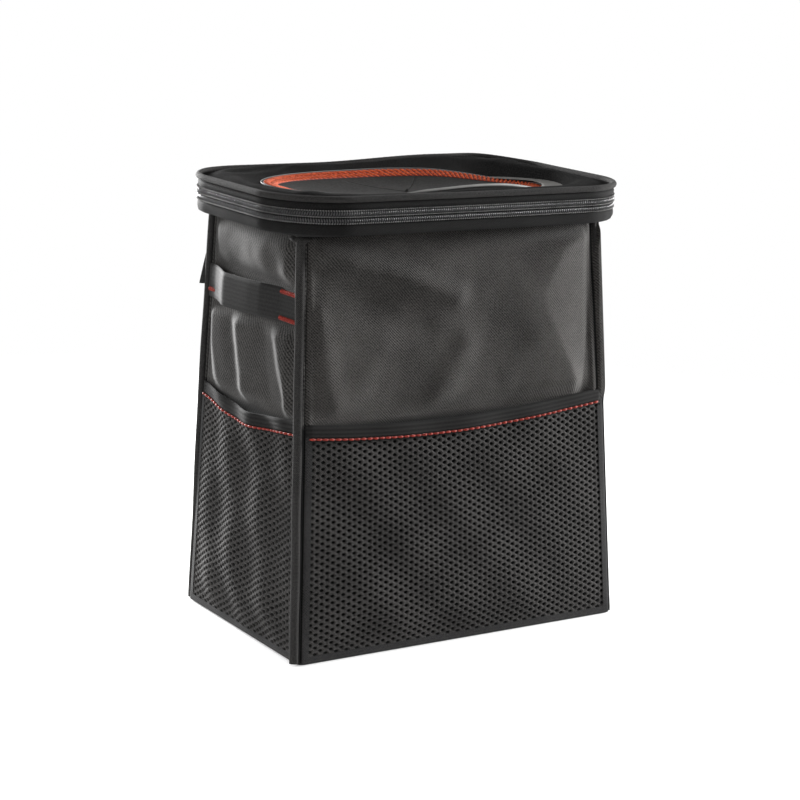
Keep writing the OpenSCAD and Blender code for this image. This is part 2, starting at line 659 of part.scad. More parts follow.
// Where the ray from the middle of the oval at angle a meets the rim outline
function rim_pt(a, off) = let (
  d = [cos(a) * oval_w, sin(a) * oval_d],
  e = d / norm(d),
  t = rim_hit([0, oval_y], e, rim_r + off, 0, rim_hw + rim_f + rim_b, 24))
  [e[0] * t, oval_y + e[1] * t];
function rim_inside(p, r) = let (
  cx = rim_hw - rim_r, y0 = -rim_f + rim_r, y1 = rim_b - rim_r,
  dx = max(0, abs(p[0]) - cx), dy = max(0, y0 - p[1], p[1] - y1))
  norm([dx, dy]) <= r;
function rim_hit(o, e, r, lo, hi, n) = n == 0 ? lo
  : rim_inside(o + e * (lo + hi) / 2, r) ? rim_hit(o, e, r, (lo + hi) / 2, hi, n - 1)
  : rim_hit(o, e, r, lo, (lo + hi) / 2, n - 1);
crown = [[0, 0], [0.22, 0.42], [0.45, 0.86], [0.62, 1], [0.78, 0.82], [0.9, 0.35]];
// Share of the crown at angle a: full behind the opening, low in front of it
function crown_at(a) = 0.3 + 0.7 * max(0, sin(a));
module lid_top() color("#2d2d30") {
  na = 72;
  nr = len(crown);
  h = crest_z - top_edge_z;
  // rings from the rim to the outer edge of the plateau, then the oval opening
  upper = [for (k = [0:nr - 1]) for (i = [0:na - 1])
    let (a = 360 * i / na, p = rim_pt(a, top_out), q = oval_pt(a, 1.5), s = crown[k][0])
    [p[0] + (q[0] - p[0]) * s, p[1] + (q[1] - p[1]) * s,
      top_edge_z + h * crown[k][1] * crown_at(a)]];
  flat = [for (i = [0:na - 1]) let (q = oval_pt(360 * i / na, 1.5)) [q[0], q[1], plateau_z]];
  hole = [for (i = [0:na - 1]) let (q = oval_pt(360 * i / na, -oval_hem)) [q[0], q[1], plateau_z]];
  low_in = [for (p = hole) [p[0], p[1], top_z0]];
  low_out = [for (i = [0:na - 1]) let (p = rim_pt(360 * i / na, top_out)) [p[0], p[1], top_z0]];
  rings = nr + 4;
  polyhedron(
    points = concat(upper, flat, hole, low_in, low_out),
    faces = concat(
      [for (k = [0:rings - 1]) for (i = [0:na - 1]) let (j = (i + 1) % na, m = (k + 1) % rings)
        [k * na + i, m * na + i, k * na + j]],
      [for (k = [0:rings - 1]) for (i = [0:na - 1]) let (j = (i + 1) % na, m = (k + 1) % rings)
        [k * na + j, m * na + i, m * na + j]]),
    convexity = 6);
}
module oval_profile(grow) scale([1, 1]) polygon([for (i = [0:95]) oval_pt(360 * i / 96, grow)]);
module lid_foam() color("#8d8a80") translate([0, 0, foam_z0]) linear_extrude(lid_foam_t)
  difference() {
    rim_profile(lid_in);
    oval_profile(-oval_hem);
  }
module lid_lining() color("#55565a") translate([0, 0, lining_z0]) linear_extrude(lining_t)
  difference() {
    rim_profile(lid_in);
    oval_profile(-oval_hem);
  }
module aperture_sheet() color("#26272a") translate([0, 0, sheet_z0]) linear_extrude(sheet_t)
  difference() {
    oval_profile(0);
    for (s = [-1, 1]) translate([0, oval_y]) rotate(s * slit_angle)
      square([slit_l, slit_w], center = true);
  }
// Two crossing zigzags of thread, one lying on the other
module zigzag(phase) {
  n = stitch_count;
  t = 0.9;
  amp = 1.9;
  function pt(k, o) = oval_pt(360 * k / (2 * n), -oval_hem / 2 + o
    + ((k + phase) % 2 == 0 ? amp : -amp));
  difference() {
    polygon([for (k = [0:2 * n - 1]) pt(k, t / 2)]);
    polygon([for (k = [0:2 * n - 1]) pt(k, -t / 2)]);
  }
}
module aperture_stitching() color("#b3261c") {
  t = 0.5;
  translate([0, 0, sheet_z1 + trim_gap]) linear_extrude(t) zigzag(0);
  translate([0, 0, sheet_z1 + 2 * trim_gap + t]) linear_extrude(t) zigzag(1);
}

// Cloth strip at the back that the lid folds on
module lid_hinge_strip() color("#232326") {
  x = rim_hw - rim_r;
  translate([-x, rim_b + layer_gap, zip_z - hinge_strip_h / 2])
    cube([2 * x, cloth_t, hinge_strip_h]);
}

// Hanging strap across the back, in the back frame where +X points to the bin's left
strap_end = hw(strap_z + strap_w / 2) - side_clear - layer_gap;
buckle_t = 8;
buckle_w = strap_w + 6;
buckle_w0 = strap_clear + webbing_t / 2 - buckle_t / 2; // inner face, off the wall
socket_h = 3.6;
socket_gap = 0.3;
module back_strap(q) band([
  [q * strap_end, layer_gap + fold_h * 0.12],
  [q * (strap_end - strap_sewn), layer_gap + fold_h * 0.12],
  [q * (strap_end - strap_sewn - 20), strap_clear],
  [q * (buckle_l - 1), strap_clear]], webbing_t, strap_z, strap_w);
module back_strap_left() color("#232326") on_back() back_strap(1);
module back_strap_right() color("#232326") on_back() back_strap(-1);
module back_strap_tacks() color("#b3261c") on_back()
  for (q = [-1, 1]) for (s = [-1, 1])
    translate([
      q * (strap_end - strap_sewn / 2) - 1,
      -layer_gap - fold_h * 0.12 - webbing_t - trim_gap - 0.5,
      strap_z + s * strap_w * 0.25 - strap_w * 0.2])
    cube([2, 0.5, strap_w * 0.4]);
module buckle_block(x0, x1, w, t) {
  r = 2;
  y = -strap_clear - webbing_t / 2;
  translate([0, y + t / 2, strap_z]) rotate([90, 0, 0]) linear_extrude(t) {
    translate([x0, -w / 2 + r]) square([x1 - x0, w - 2 * r]);
    translate([x0 + r, -w / 2]) square([x1 - x0 - 2 * r, w]);
    for (x = [x0 + r, x1 - r]) for (z = [-w / 2 + r, w / 2 - r]) translate([x, z]) circle(r, $fn = 32);
  }
}
module buckle_slot(x0, x1, w, t) {
  y = -strap_clear - webbing_t / 2;
  translate([x0, y - t / 2, strap_z - w / 2]) cube([x1 - x0, t, w]);
}
buckle_open = buckle_l * 0.75; // depth of the socket and length of the prongs
module buckle_female() color("#1b1b1d") on_back() difference() {
  buckle_block(0.5, buckle_l, buckle_w, buckle_t);
  buckle_slot(-1, buckle_open, strap_w - 3, socket_h);
  // side windows where the prongs show
  buckle_slot(buckle_open * 0.45, buckle_open - 1.5, buckle_w + 2, socket_h);
  // slot for the webbing
  buckle_slot(buckle_l - 4, buckle_l + 1, strap_w + 1.2, webbing_t + 0.8);
}
module buckle_male() color("#1b1b1d") on_back() {
  difference() {
    buckle_block(-buckle_l, -0.5, buckle_w, buckle_t);
    buckle_slot(-buckle_l - 1, -buckle_l + 4, strap_w + 1.2, webbing_t + 0.8);
  }
  // guide tongue in the middle of the socket
  buckle_slot(-2, buckle_open - 3, 5, socket_h - 2 * socket_gap);
}
// The two springy arms with their barbs in the side windows
module buckle_prongs() color("#1b1b1d") on_back()
  for (s = [-1, 1]) translate([0, 0, strap_z]) scale([1, 1, 1])
    translate([0, -strap_clear - webbing_t / 2 + socket_h / 2 - socket_gap, 0]) rotate([90, 0, 0])
      linear_extrude(socket_h - 2 * socket_gap) {
        w = (strap_w - 3) / 2 - 0.4;
        polygon([
          [-0.2, s * (w - 4)],
          [buckle_open - 2.6, s * (w - 4)],
          [buckle_open - 2.6, s * (w + 1.6)],
          [buckle_open * 0.5, s * (w + 1.6)],
          [buckle_open * 0.5, s * w],
          [-0.2, s * w]]);
      }

base_panel();
base_board();
front_board();
back_board();
left_board();
right_board();
front_panel();
back_panel();
left_panel();
right_panel();
liner();
corner_piping_fl();
corner_piping_fr();
corner_piping_bl();
corner_piping_br();
front_mesh();
front_binding();
front_pocket_stitch();
left_mesh();
left_binding();
left_pocket_stitch();
right_mesh();
right_binding();
right_pocket_stitch();
left_loop();
right_loop();
left_loop_tacks();
right_loop_tacks();
rim_band();
lower_zipper_tape();
lower_zipper_teeth();
zipper_stops();
back_strap_left();
back_strap_right();
back_strap_tacks();
buckle_female();
buckle_male();
buckle_prongs();
lid_hinge_strip();
lid_band();
lid_piping();
lid_top();
lid_foam();
lid_lining();
aperture_sheet();
aperture_stitching();
upper_zipper_tape();
upper_zipper_teeth();
zipper_slider();
zipper_pull();
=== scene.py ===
# %% [markdown]
# A car trash bin, dressed.
#
# The packed CAD model is the fixed frame: it says how big everything is and what moves.
# This script builds the cloth, nets, zipper, threads and rubber around it, in metres.
# X points to the bin's right, Y to its back and Z up; the floor is at Z = 0.

# %% Load the frame
import math

import bmesh
import bpy
import numpy as np
from mathutils import Matrix, Vector, noise


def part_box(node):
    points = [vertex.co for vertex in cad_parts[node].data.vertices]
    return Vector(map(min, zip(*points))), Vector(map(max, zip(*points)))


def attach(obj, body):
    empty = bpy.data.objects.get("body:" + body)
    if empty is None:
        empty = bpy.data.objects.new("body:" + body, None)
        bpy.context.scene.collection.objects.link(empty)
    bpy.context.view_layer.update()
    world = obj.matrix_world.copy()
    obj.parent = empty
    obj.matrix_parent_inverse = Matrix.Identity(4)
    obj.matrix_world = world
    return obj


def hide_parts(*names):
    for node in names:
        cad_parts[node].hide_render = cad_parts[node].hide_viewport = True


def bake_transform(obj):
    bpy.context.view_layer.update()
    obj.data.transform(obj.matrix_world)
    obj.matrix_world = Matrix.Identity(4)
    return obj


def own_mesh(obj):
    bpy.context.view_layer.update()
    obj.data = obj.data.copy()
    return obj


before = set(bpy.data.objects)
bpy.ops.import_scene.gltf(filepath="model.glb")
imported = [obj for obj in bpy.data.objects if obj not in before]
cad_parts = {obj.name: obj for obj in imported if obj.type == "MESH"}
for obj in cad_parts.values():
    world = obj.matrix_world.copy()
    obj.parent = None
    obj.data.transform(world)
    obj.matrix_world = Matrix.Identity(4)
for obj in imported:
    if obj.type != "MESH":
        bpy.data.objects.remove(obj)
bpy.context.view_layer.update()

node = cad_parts

# %% [markdown]
# The four walls are flat boards that lean inwards. Every cloth piece on a wall is easier to
# shape in that wall's own frame: u runs along the wall, v up its slope, and w inwards from
# its outer face. One function turns such a place into a point of the bin, so a fold or a
# stitch is given once, in millimetres that mean something on the real wall.

# %% Wall frames
MM = 0.001
lo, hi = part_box("base_panel")
BASE_W, BASE_D = hi.x - lo.x, hi.y - lo.y
lo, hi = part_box("liner")
NECK_Z = hi.z
# how far the neck's front and back edges lie from the middle of the base
NECK_F, NECK_B = 46 * MM, 67 * MM
# how far each wall leans inwards between the floor and the neck, and where it faces
LEAN = {"front": 24 * MM, "back": 3 * MM, "left": 10 * MM, "right": 10 * MM}
TURN = {"front": 0, "back": math.pi, "left": -math.pi / 2, "right": math.pi / 2}
NECK_HW = BASE_W / 2 - LEAN["left"]
POCKET = 142 * MM  # height of the pockets' mouths
print(f"base {BASE_W:.3f} x {BASE_D:.3f}, neck at {NECK_Z:.3f}, half width {NECK_HW:.4f}")


def half_w(z):
    return BASE_W / 2 - LEAN["left"] * z / NECK_Z


def y_front(z):
    return -BASE_D / 2 + LEAN["front"] * z / NECK_Z


def y_back(z):
    return BASE_D / 2 - LEAN["back"] * z / NECK_Z


def edges(side, v):
    """The two ends of a wall at height v, along its own u."""
    if side in ("front", "back"):
        return -half_w(v), half_w(v)
    if side == "left":
        return -y_back(v), -y_front(v)
    return y_front(v), y_back(v)


def on_wall(side, u, v, w):
    """Points of the bin for places on a wall; u, v and w may be arrays."""
    a = math.asin(LEAN[side] / NECK_Z)
    t = TURN[side]
    y = w * math.cos(a) + v * math.sin(a)
    z = -w * math.sin(a) + v * math.cos(a)
    x, y = u * math.cos(t) - y * math.sin(t), u * math.sin(t) + y * math.cos(t)
    if side == "front":
        y = y - BASE_D / 2
    elif side == "back":
        y = y + BASE_D / 2
    elif side == "left":
        x = x - BASE_W / 2
    else:
        x = x + BASE_W / 2
    return np.stack(np.broadcast_arrays(x, y, z), -1)


# %% [markdown]
# Most of the bin is cloth, so most pieces are grids: rows and columns of points with a UV map
# whose unit is a metre. With such a map a weave keeps its real thread spacing on every piece,
# however the piece is bent. One helper makes the grid, gives it a thickness and hands it to
# the body that it moves with.

# %% Grids of points become meshes
def new_mesh(name, verts, faces, uvs=None, smooth=True):
    mesh = bpy.data.meshes.new(name)
    mesh.from_pydata([tuple(p) for p in verts], [], [tuple(f) for f in faces])
    if smooth:
        mesh.polygons.foreach_set("use_smooth", [True] * len(mesh.polygons))
    if uvs is not None:
        layer = mesh.uv_layers.new(name="metres")
        loops = np.zeros(len(mesh.loops), np.int32)
        mesh.loops.foreach_get("vertex_index", loops)
        layer.data.foreach_set("uv", np.asarray(uvs, np.float32)[loops].ravel())
    mesh.update()
    obj = bpy.data.objects.new(name, mesh)
    bpy.context.scene.collection.objects.link(obj)
    return obj


def grid(name, pts, uv, close_u=False, close_v=False):
    """pts and uv are arrays [rows, columns, ...]; close_u joins the last column to the first."""
    nv, nu = pts.shape[:2]
    cu, cv = nu if close_u else nu - 1, nv if close_v else nv - 1
    j, i = np.mgrid[0:cv, 0:cu]
    a = j * nu + i
    b = j * nu + (i + 1) % nu
    c = (j + 1) % nv * nu + (i + 1) % nu
    d = (j + 1) % nv * nu + i
    faces = np.stack([a, b, c, d], -1).reshape(-1, 4)
    obj = new_mesh(name, pts.reshape(-1, 3), faces)
    layer = obj.data.uv_layers.new(name="metres")
    # each face takes its corners' own values, so a closed grid has no backward strip
    u = np.concatenate([uv, 2 * uv[:, -1:] - uv[:, -2:-1]], 1) if close_u else uv
    u = np.concatenate([u, 2 * u[-1:] - u[-2:-1]], 0) if close_v else u
    corner = np.stack([u[j, i], u[j, i + 1], u[j + 1, i + 1], u[j + 1, i]], 2)
    layer.data.foreach_set("uv", corner.astype(np.float32).ravel())
    return obj


def thicken(obj, t, offset=-1.0):
    mod = obj.modifiers.new("thickness", "SOLIDIFY")
    mod.thickness = t
    mod.offset = offset
    return obj


def dress(obj, body, slot, material, *nodes):
    """Gives a piece its material and body, and hides the CAD nodes it stands for; slot isn't used."""
    obj.data.materials.clear()
    obj.data.materials.append(material)
    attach(obj, body)
    if nodes:
        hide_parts(*nodes)
    return obj


print("walls to dress:", sorted(LEAN))

# %% [markdown]
# Folds and bulges are sums of a few simple forms: a smooth step from 0 to 1, a ridge along a
# line, and a soft seeded unevenness. They are plain functions of a place on the piece, so a
# fold stays where it is however fine the grid is.

# %% Forms for folds
def step_up(x):
    c = np.clip(x, 0, 1)
    return c * c * (3 - 2 * c)


def ridge(u, v, a, b, width):
    """1 on the line from a to b, falling off over width on both sides."""
    a, b = np.array(a), np.array(b)
    d = b - a
    t = np.clip(((u - a[0]) * d[0] + (v - a[1]) * d[1]) / (d @ d), 0, 1)
    r2 = (u - a[0] - d[0] * t) ** 2 + (v - a[1] - d[1] * t) ** 2
    return np.exp(-r2 / width**2)


def ridges(u, v, table):
    """The sum of ridges, each given by its size in mm, its two ends and its half width."""
    return sum(size * ridge(u, v, a, b, width) for size, a, b, width in table)


def rumple(u, v, scale, seed):
    """Soft seeded unevenness, from -1 to 1, the same on every run."""
    flat = np.stack([np.ravel(u) / scale, np.ravel(v) / scale], -1)
    out = [noise.noise((p[0] + seed, p[1] - seed, seed * 1.7)) for p in flat]
    return np.array(out).reshape(np.shape(u)) * 1.6


print("forms ready; a ridge is", round(float(ridge(0.0, 0.0, (-1, 0), (1, 0), 1)), 2), "on its line")


# %% [markdown]
# The camera stands where the photographer stood. Its place was found by fitting a lens to the
# corners of the base and of the neck, so it has a small tilt of its own.

# %% Camera
def make_camera(azimuth=-32.92, elevation=12.92, distance=1.3667, target=(-0.00666, 0, 0.1353),
                tilt=2.36, lens=36 * 2188 / 800):
    a, e, r = math.radians(azimuth), math.radians(elevation), math.radians(tilt)
    back = Vector((math.sin(a) * math.cos(e), -math.cos(a) * math.cos(e), math.sin(e)))
    right = (-back).cross(Vector((0, 0, 1))).normalized()
    up = right.cross(-back)
    x = right * math.cos(r) + up * math.sin(r)
    y = up * math.cos(r) - right * math.sin(r)
    cam = bpy.data.objects.new("camera", bpy.data.cameras.new("camera"))
    cam.data.lens = lens
    cam.data.sensor_width = 36
    cam.data.clip_start, cam.data.clip_end = 0.05, 50
    cam.matrix_world = Matrix((x, y, back)).transposed().to_4x4()
    cam.location = Vector(target) + back * distance
    bpy.context.scene.collection.objects.link(cam)
    bpy.context.scene.camera = cam
    return cam


camera = make_camera()
print("camera at", tuple(round(c, 3) for c in camera.location), "lens", round(camera.data.lens, 1))

# %% [markdown]
# Cloth looks like cloth because of its threads. The weave is the same effect on the walls,
# the straps, the zipper tapes and the bindings, with its own spacing and depth on each, so it
# is one shader node group. It puts out a height for the bump and a tone for the colour.
# A picture of a weave would be quicker, but it would repeat and go soft close up.

# %% Helpers for shader nodes
def group_socket(tree, name, kind, out=False, value=None):
    socket = tree.interface.new_socket(name, in_out="OUTPUT" if out else "INPUT", socket_type=kind)
    if value is not None:
        socket.default_value = value


class Nodes:
    """Short names for adding nodes to a tree and joining them."""

    def __init__(self, tree):
        self.tree = tree

    def add(self, kind, inputs=(), **props):
        n = self.tree.nodes.new(kind)
        for k, v in props.items():
            setattr(n, k, v)
        for k, v in dict(inputs).items():
            if isinstance(v, bpy.types.NodeSocket):
                self.tree.links.new(v, n.inputs[k])
            else:
                n.inputs[k].default_value = v
        return n

    def math(self, op, a, b=0.0, c=0.0):
        n = self.add("ShaderNodeMath", {0: a, 1: b, 2: c}, operation=op)
        return n.outputs[0]

    def remap(self, value, a, b, c=0.0, d=1.0):
        n = self.add("ShaderNodeMapRange", {0: value, 1: a, 2: b, 3: c, 4: d}, clamp=True)
        return n.outputs[0]

    def mix_colour(self, fac, a, b):
        n = self.add("ShaderNodeMix", {0: fac, 6: a, 7: b}, data_type="RGBA")
        return n.outputs[2]

    def link(self, a, b):
        self.tree.links.new(a, b)


def new_group(name):
    tree = bpy.data.node_groups.new(name, "ShaderNodeTree")
    gin, gout = tree.nodes.new("NodeGroupInput"), tree.nodes.new("NodeGroupOutput")
    return tree, Nodes(tree), gin, gout


print("node helpers:", [name for name in vars(Nodes) if not name.startswith("_")])


# %% Weave and uneven dye, as node groups
def make_weave():
    tree, k, gin, gout = new_group("woven threads")
    group_socket(tree, "Coordinate", "NodeSocketVector")
    group_socket(tree, "Pitch", "NodeSocketFloat", value=0.0007)
    group_socket(tree, "Twill", "NodeSocketFloat", value=0.5)
    group_socket(tree, "Height", "NodeSocketFloat", out=True)
    group_socket(tree, "Tone", "NodeSocketFloat", out=True)
    at = k.add("ShaderNodeVectorMath", {0: gin.outputs["Coordinate"]}, operation="SCALE")
    k.link(k.math("DIVIDE", math.pi, gin.outputs["Pitch"]), at.inputs["Scale"])
    # a slow wander of the threads, so that the rows aren't ruled
    wander = k.add("ShaderNodeTexNoise", {"Vector": gin.outputs["Coordinate"], "Scale": 55.0,
                                          "Detail": 1.0})
    shift = k.math("MULTIPLY", wander.outputs["Fac"], 4.0)
    xyz = k.add("ShaderNodeSeparateXYZ", {0: at.outputs[0]})
    x = k.math("ADD", xyz.outputs[0], shift)
    y = k.math("ADD", xyz.outputs[1], shift)
    warp = k.math("MULTIPLY", k.math("SINE", x), k.math("SINE", y))
    over = k.math("MULTIPLY_ADD", warp, 0.5, 0.5)
    line = k.math("MULTIPLY_ADD", k.math("SINE", k.math("ADD", x, y)), 0.5, 0.5)
    height = k.add("ShaderNodeMix", {0: gin.outputs["Twill"], 2: over, 3: line}, data_type="FLOAT")
    fuzz = k.add("ShaderNodeTexNoise", {"Vector": gin.outputs["Coordinate"], "Scale": 950.0,
                                        "Detail": 3.0, "Roughness": 0.65})
    h = k.math("ADD", k.math("MULTIPLY", height.outputs[0], 0.8),
               k.math("MULTIPLY", fuzz.outputs["Fac"], 0.35))
    k.link(h, gout.inputs["Height"])
    tone = k.math("ADD", k.math("MULTIPLY", height.outputs[0], 0.5),
                  k.math("MULTIPLY", k.remap(fuzz.outputs["Fac"], 0.3, 0.7), 0.5))
    k.link(tone, gout.inputs["Tone"])
    return tree


def make_fade():
    """Uneven dye and handling marks over centimetres."""
    tree, k, gin, gout = new_group("uneven dye")
    group_socket(tree, "Coordinate", "NodeSocketVector")
    group_socket(tree, "Size", "NodeSocketFloat", value=0.05)
    group_socket(tree, "Fade", "NodeSocketFloat", out=True)
    n = k.add("ShaderNodeTexNoise", {"Vector": gin.outputs["Coordinate"], "Detail": 3.0,
                                     "Roughness": 0.6})
    k.link(k.math("DIVIDE", 1.0, gin.outputs["Size"]), n.inputs["Scale"])
    k.link(k.remap(n.outputs["Fac"], 0.3, 0.7), gout.inputs["Fade"])
    return tree


WEAVE, FADE = make_weave(), make_fade()
print("node groups:", [g.name for g in (WEAVE, FADE)])


# %% [markdown]
# Each finish is a material of its own: a Principled shader whose plain values stand on its
# own sockets, and whose colour, roughness and bump come from the groups. Every material of
# this bin starts from the same few lines, so they are helpers.

# %% Where a material starts
def principled(name, rough, specular, sheen=0.0, metallic=0.0):
    m = bpy.data.materials.new(name)
    m.use_nodes = True
    m.node_tree.nodes.clear()
    k = Nodes(m.node_tree)
    out = k.add("ShaderNodeOutputMaterial")
    p = k.add("ShaderNodeBsdfPrincipled", {
        "Roughness": rough, "Specular IOR Level": specular, "Sheen Weight": sheen,
        "Sheen Roughness": 0.5, "Metallic": metallic})
    k.link(p.outputs[0], out.inputs[0])
    return m, k, p


def coordinate(k, uv=True):
    if uv:
        return k.add("ShaderNodeUVMap", uv_map="metres").outputs[0]
    return k.add("ShaderNodeTexCoord").outputs["Object"]


def place(k, tree, inputs):
    return k.add("ShaderNodeGroup", inputs, node_tree=tree)


print("groups to place:", len(bpy.data.node_groups))

# %% [markdown]
# Polyester cloth is nearly black between its threads and grey on them, with hardly any gloss.
# The weave group gives both the colour and the bump. The walls get two places of painted
# shade: the valley beside the piping, which a point attribute called seam marks on the mesh,
# and the wall behind the net pockets, below a given height, painted dark for the nets' shade.

# %% Cloth finishes
# two colours of painted shade: the first for the valley beside the piping, the second for the wall
# behind the net pockets
SEAM_SHADE, NET_SHADE = (0.0025, 0.0025, 0.0025, 1), (0.004, 0.004, 0.004, 1)


def cloth(name, dark, light, pitch=0.0009, twill=0.6, bump=0.0002, uv=True, rough=0.85,
          sheen=0.15, fade=0.25, specular=0.08, shade=None):
    """shade: the height below which the wall behind a net pocket gets painted shade."""
    m, k, p = principled(name, rough, specular, sheen)
    co = coordinate(k, uv)
    w = place(k, WEAVE, {"Coordinate": co, "Pitch": pitch, "Twill": twill})
    f = place(k, FADE, {"Coordinate": co, "Size": 0.05})
    tone = k.math("ADD", w.outputs["Tone"], k.math("MULTIPLY", f.outputs["Fade"], fade))
    col = k.mix_colour(k.remap(tone, 0.3, 0.95), (*dark, 1), (*light, 1))
    if shade:
        # painted shade: the valley beside the piping is painted nearly black
        seam = k.add("ShaderNodeAttribute", attribute_name="seam").outputs["Fac"]
        col = k.mix_colour(k.remap(seam, 0.25, 0.75), col, SEAM_SHADE)
        # painted shade: below the height shade the wall behind the net pocket is painted dark
        v = k.add("ShaderNodeSeparateXYZ", {0: co}).outputs[1]
        col = k.mix_colour(k.remap(v, shade - 8 * MM, shade - 4 * MM), NET_SHADE, col)
    k.link(col, p.inputs["Base Color"])
    b = k.add("ShaderNodeBump", {"Distance": bump, "Strength": 1.0, "Height": w.outputs["Height"]})
    k.link(b.outputs[0], p.inputs["Normal"])
    return m


# painted shade: the lid's and hinge's cloth is the walls' cloth painted far darker, to offset the
# stronger light on the lid's top
OXFORD_SHADED = cloth("oxford cloth with painted shade", (0.005, 0.005, 0.0052), (0.037, 0.0365, 0.036), bump=0.0003,
               rough=0.95, sheen=0.0, specular=0.01)
# painted shade: up to this height the wall behind the pockets is painted dark, for the shade under
# the nets
NET_SHADE_TOP = 146 * MM  # where the dark lining behind the pockets ends
WALL = cloth("wall cloth", (0.004, 0.0038, 0.0036), (0.100, 0.094, 0.089), bump=0.0006,
             shade=NET_SHADE_TOP)
SIDE_WALL = cloth("side wall cloth", (0.004, 0.0038, 0.0036), (0.094, 0.090, 0.086), 0.0013,
                  bump=0.0001, shade=NET_SHADE_TOP)
BACK_WALL = cloth("back wall cloth", (0.004, 0.0038, 0.0036), (0.095, 0.090, 0.086), bump=0.0005,
                  fade=0.08)
SKIRT = cloth("rim cloth", (0.004, 0.004, 0.0042), (0.021, 0.0205, 0.020), sheen=0.03)
PIPING = cloth("piping cloth", (0.010, 0.0098, 0.0096), (0.058, 0.056, 0.055), 0.0006, 0.8,
               sheen=0.05)
NET = cloth("net thread", (0.010, 0.0097, 0.0095), (0.082, 0.078, 0.075), 0.0005, 0.9, 0.0002)
SELVEDGE = cloth("net selvedge", (0.006, 0.006, 0.0063), (0.045, 0.044, 0.044), 0.0008, 0.2)
TAPE = cloth("zipper tape", (0.002, 0.002, 0.0021), (0.010, 0.010, 0.0103), 0.0006, 0.2, sheen=0.02)
BASE_CLOTH = cloth("base cloth", (0.010, 0.010, 0.0105), (0.040, 0.040, 0.041), uv=False)
print("cloths:", len(bpy.data.materials))

# %% [markdown]
# Elastic tape and webbing are woven in ribs that run along the band. A sine across the band
# gives the ribs, and the weave group adds the threads between them.

# %% Ribbed tapes
RIB_PITCH = 2.5 * MM


def ribbed(name, dark, light, depth, share):
    """share is how much of the band's tone and height comes from its ribs."""
    m, k, p = principled(name, 0.8, 0.08, 0.03)
    co = coordinate(k)
    across = k.add("ShaderNodeSeparateXYZ", {0: co}).outputs[1]
    rib = k.math("SINE", k.math("MULTIPLY", across, 2 * math.pi / RIB_PITCH))
    rib = k.math("MULTIPLY_ADD", rib, 0.5 * share, 0.5)
    w = place(k, WEAVE, {"Coordinate": co, "Pitch": 0.0005, "Twill": 0.3})
    h = k.math("ADD", k.math("MULTIPLY", rib, 0.75), k.math("MULTIPLY", w.outputs["Height"], 0.4))
    tone = k.math("ADD", k.math("MULTIPLY", rib, 0.5), k.math("MULTIPLY", w.outputs["Tone"], 0.6))
    k.link(k.mix_colour(k.remap(tone, 0.1, 1.1), (*dark, 1), (*light, 1)), p.inputs["Base Color"])
    b = k.add("ShaderNodeBump", {"Distance": depth, "Height": h})
    k.link(b.outputs[0], p.inputs["Normal"])
    return m


BINDING = ribbed("elastic binding", (0.005, 0.005, 0.0052), (0.031, 0.030, 0.029), 0.3 * MM, 0.7)
WEBBING = ribbed("webbing", (0.006, 0.006, 0.0062), (0.055, 0.054, 0.053), 0.2 * MM, 0.25)
print("ribs every", RIB_PITCH, "m on", BINDING.name, "and", WEBBING.name)

# %% [markdown]
# Sewing thread is twisted and a little fuzzy. At its size a fine noise does for both, as long
# as it changes the colour and the bump together. The bright thread goes round the opening.

# %% Threads
def thread(name, dark, light):
    m, k, p = principled(name, 0.6, 0.2, 0.08)
    co = k.add("ShaderNodeTexCoord").outputs["Object"]
    n = k.add("ShaderNodeTexNoise", {"Vector": co, "Scale": 900.0, "Detail": 2.0})
    k.link(k.mix_colour(k.remap(n.outputs["Fac"], 0.3, 0.7), (*dark, 1), (*light, 1)),
           p.inputs["Base Color"])
    b = k.add("ShaderNodeBump", {"Distance": 0.0002, "Height": n.outputs["Fac"]})
    k.link(b.outputs[0], p.inputs["Normal"])
    return m


RED = thread("red thread", (0.13, 0.010, 0.008), (0.46, 0.050, 0.030))
ORANGE = thread("orange thread", (0.36, 0.040, 0.012), (0.86, 0.160, 0.050))
RED_DEEP = thread("deep red thread", (0.10, 0.010, 0.006), (0.22, 0.024, 0.012))
print("threads:", [m.name for m in (RED, ORANGE, RED_DEEP)])

# %% [markdown]
# Rubber, plastic, foam and lacquered metal aren't woven. They share one recipe: a fine grain
# for the bump and the roughness, and the uneven dye for the colour. Only their values differ.

# %% Moulded and sheet finishes
def moulded(name, dark, light, rough=(0.35, 0.6), grain=900.0, depth=0.00006, specular=0.5,
            metallic=0.0):
    m, k, p = principled(name, 0.5, specular, 0.0, metallic=metallic)
    co = k.add("ShaderNodeTexCoord").outputs["Object"]
    n = k.add("ShaderNodeTexNoise", {"Vector": co, "Scale": grain, "Detail": 3.0})
    f = place(k, FADE, {"Coordinate": co, "Size": 0.03})
    k.link(k.mix_colour(f.outputs["Fade"], (*dark, 1), (*light, 1)), p.inputs["Base Color"])
    k.link(k.remap(n.outputs["Fac"], 0.3, 0.7, *rough), p.inputs["Roughness"])
    b = k.add("ShaderNodeBump", {"Distance": depth, "Height": n.outputs["Fac"]})
    k.link(b.outputs[0], p.inputs["Normal"])
    return m


RUBBER = moulded("rubber sheet", (0.019, 0.019, 0.0185), (0.028, 0.028, 0.027), (0.6, 0.75),
                 700.0, 0.00003, 0.08)
# painted highlight: a pale finish for the light caught on the rubber sheet's edge
RUBBER_EDGE_HIGHLIGHT = moulded("rubber edge highlight", (0.16, 0.16, 0.155), (0.30, 0.30, 0.29), (0.5, 0.7), 700.0)
BUCKLE = moulded("buckle plastic", (0.012, 0.012, 0.013), (0.020, 0.020, 0.021), (0.3, 0.5))
COIL = moulded("zipper coil", (0.022, 0.022, 0.023), (0.075, 0.075, 0.077), (0.22, 0.4), 1200.0)
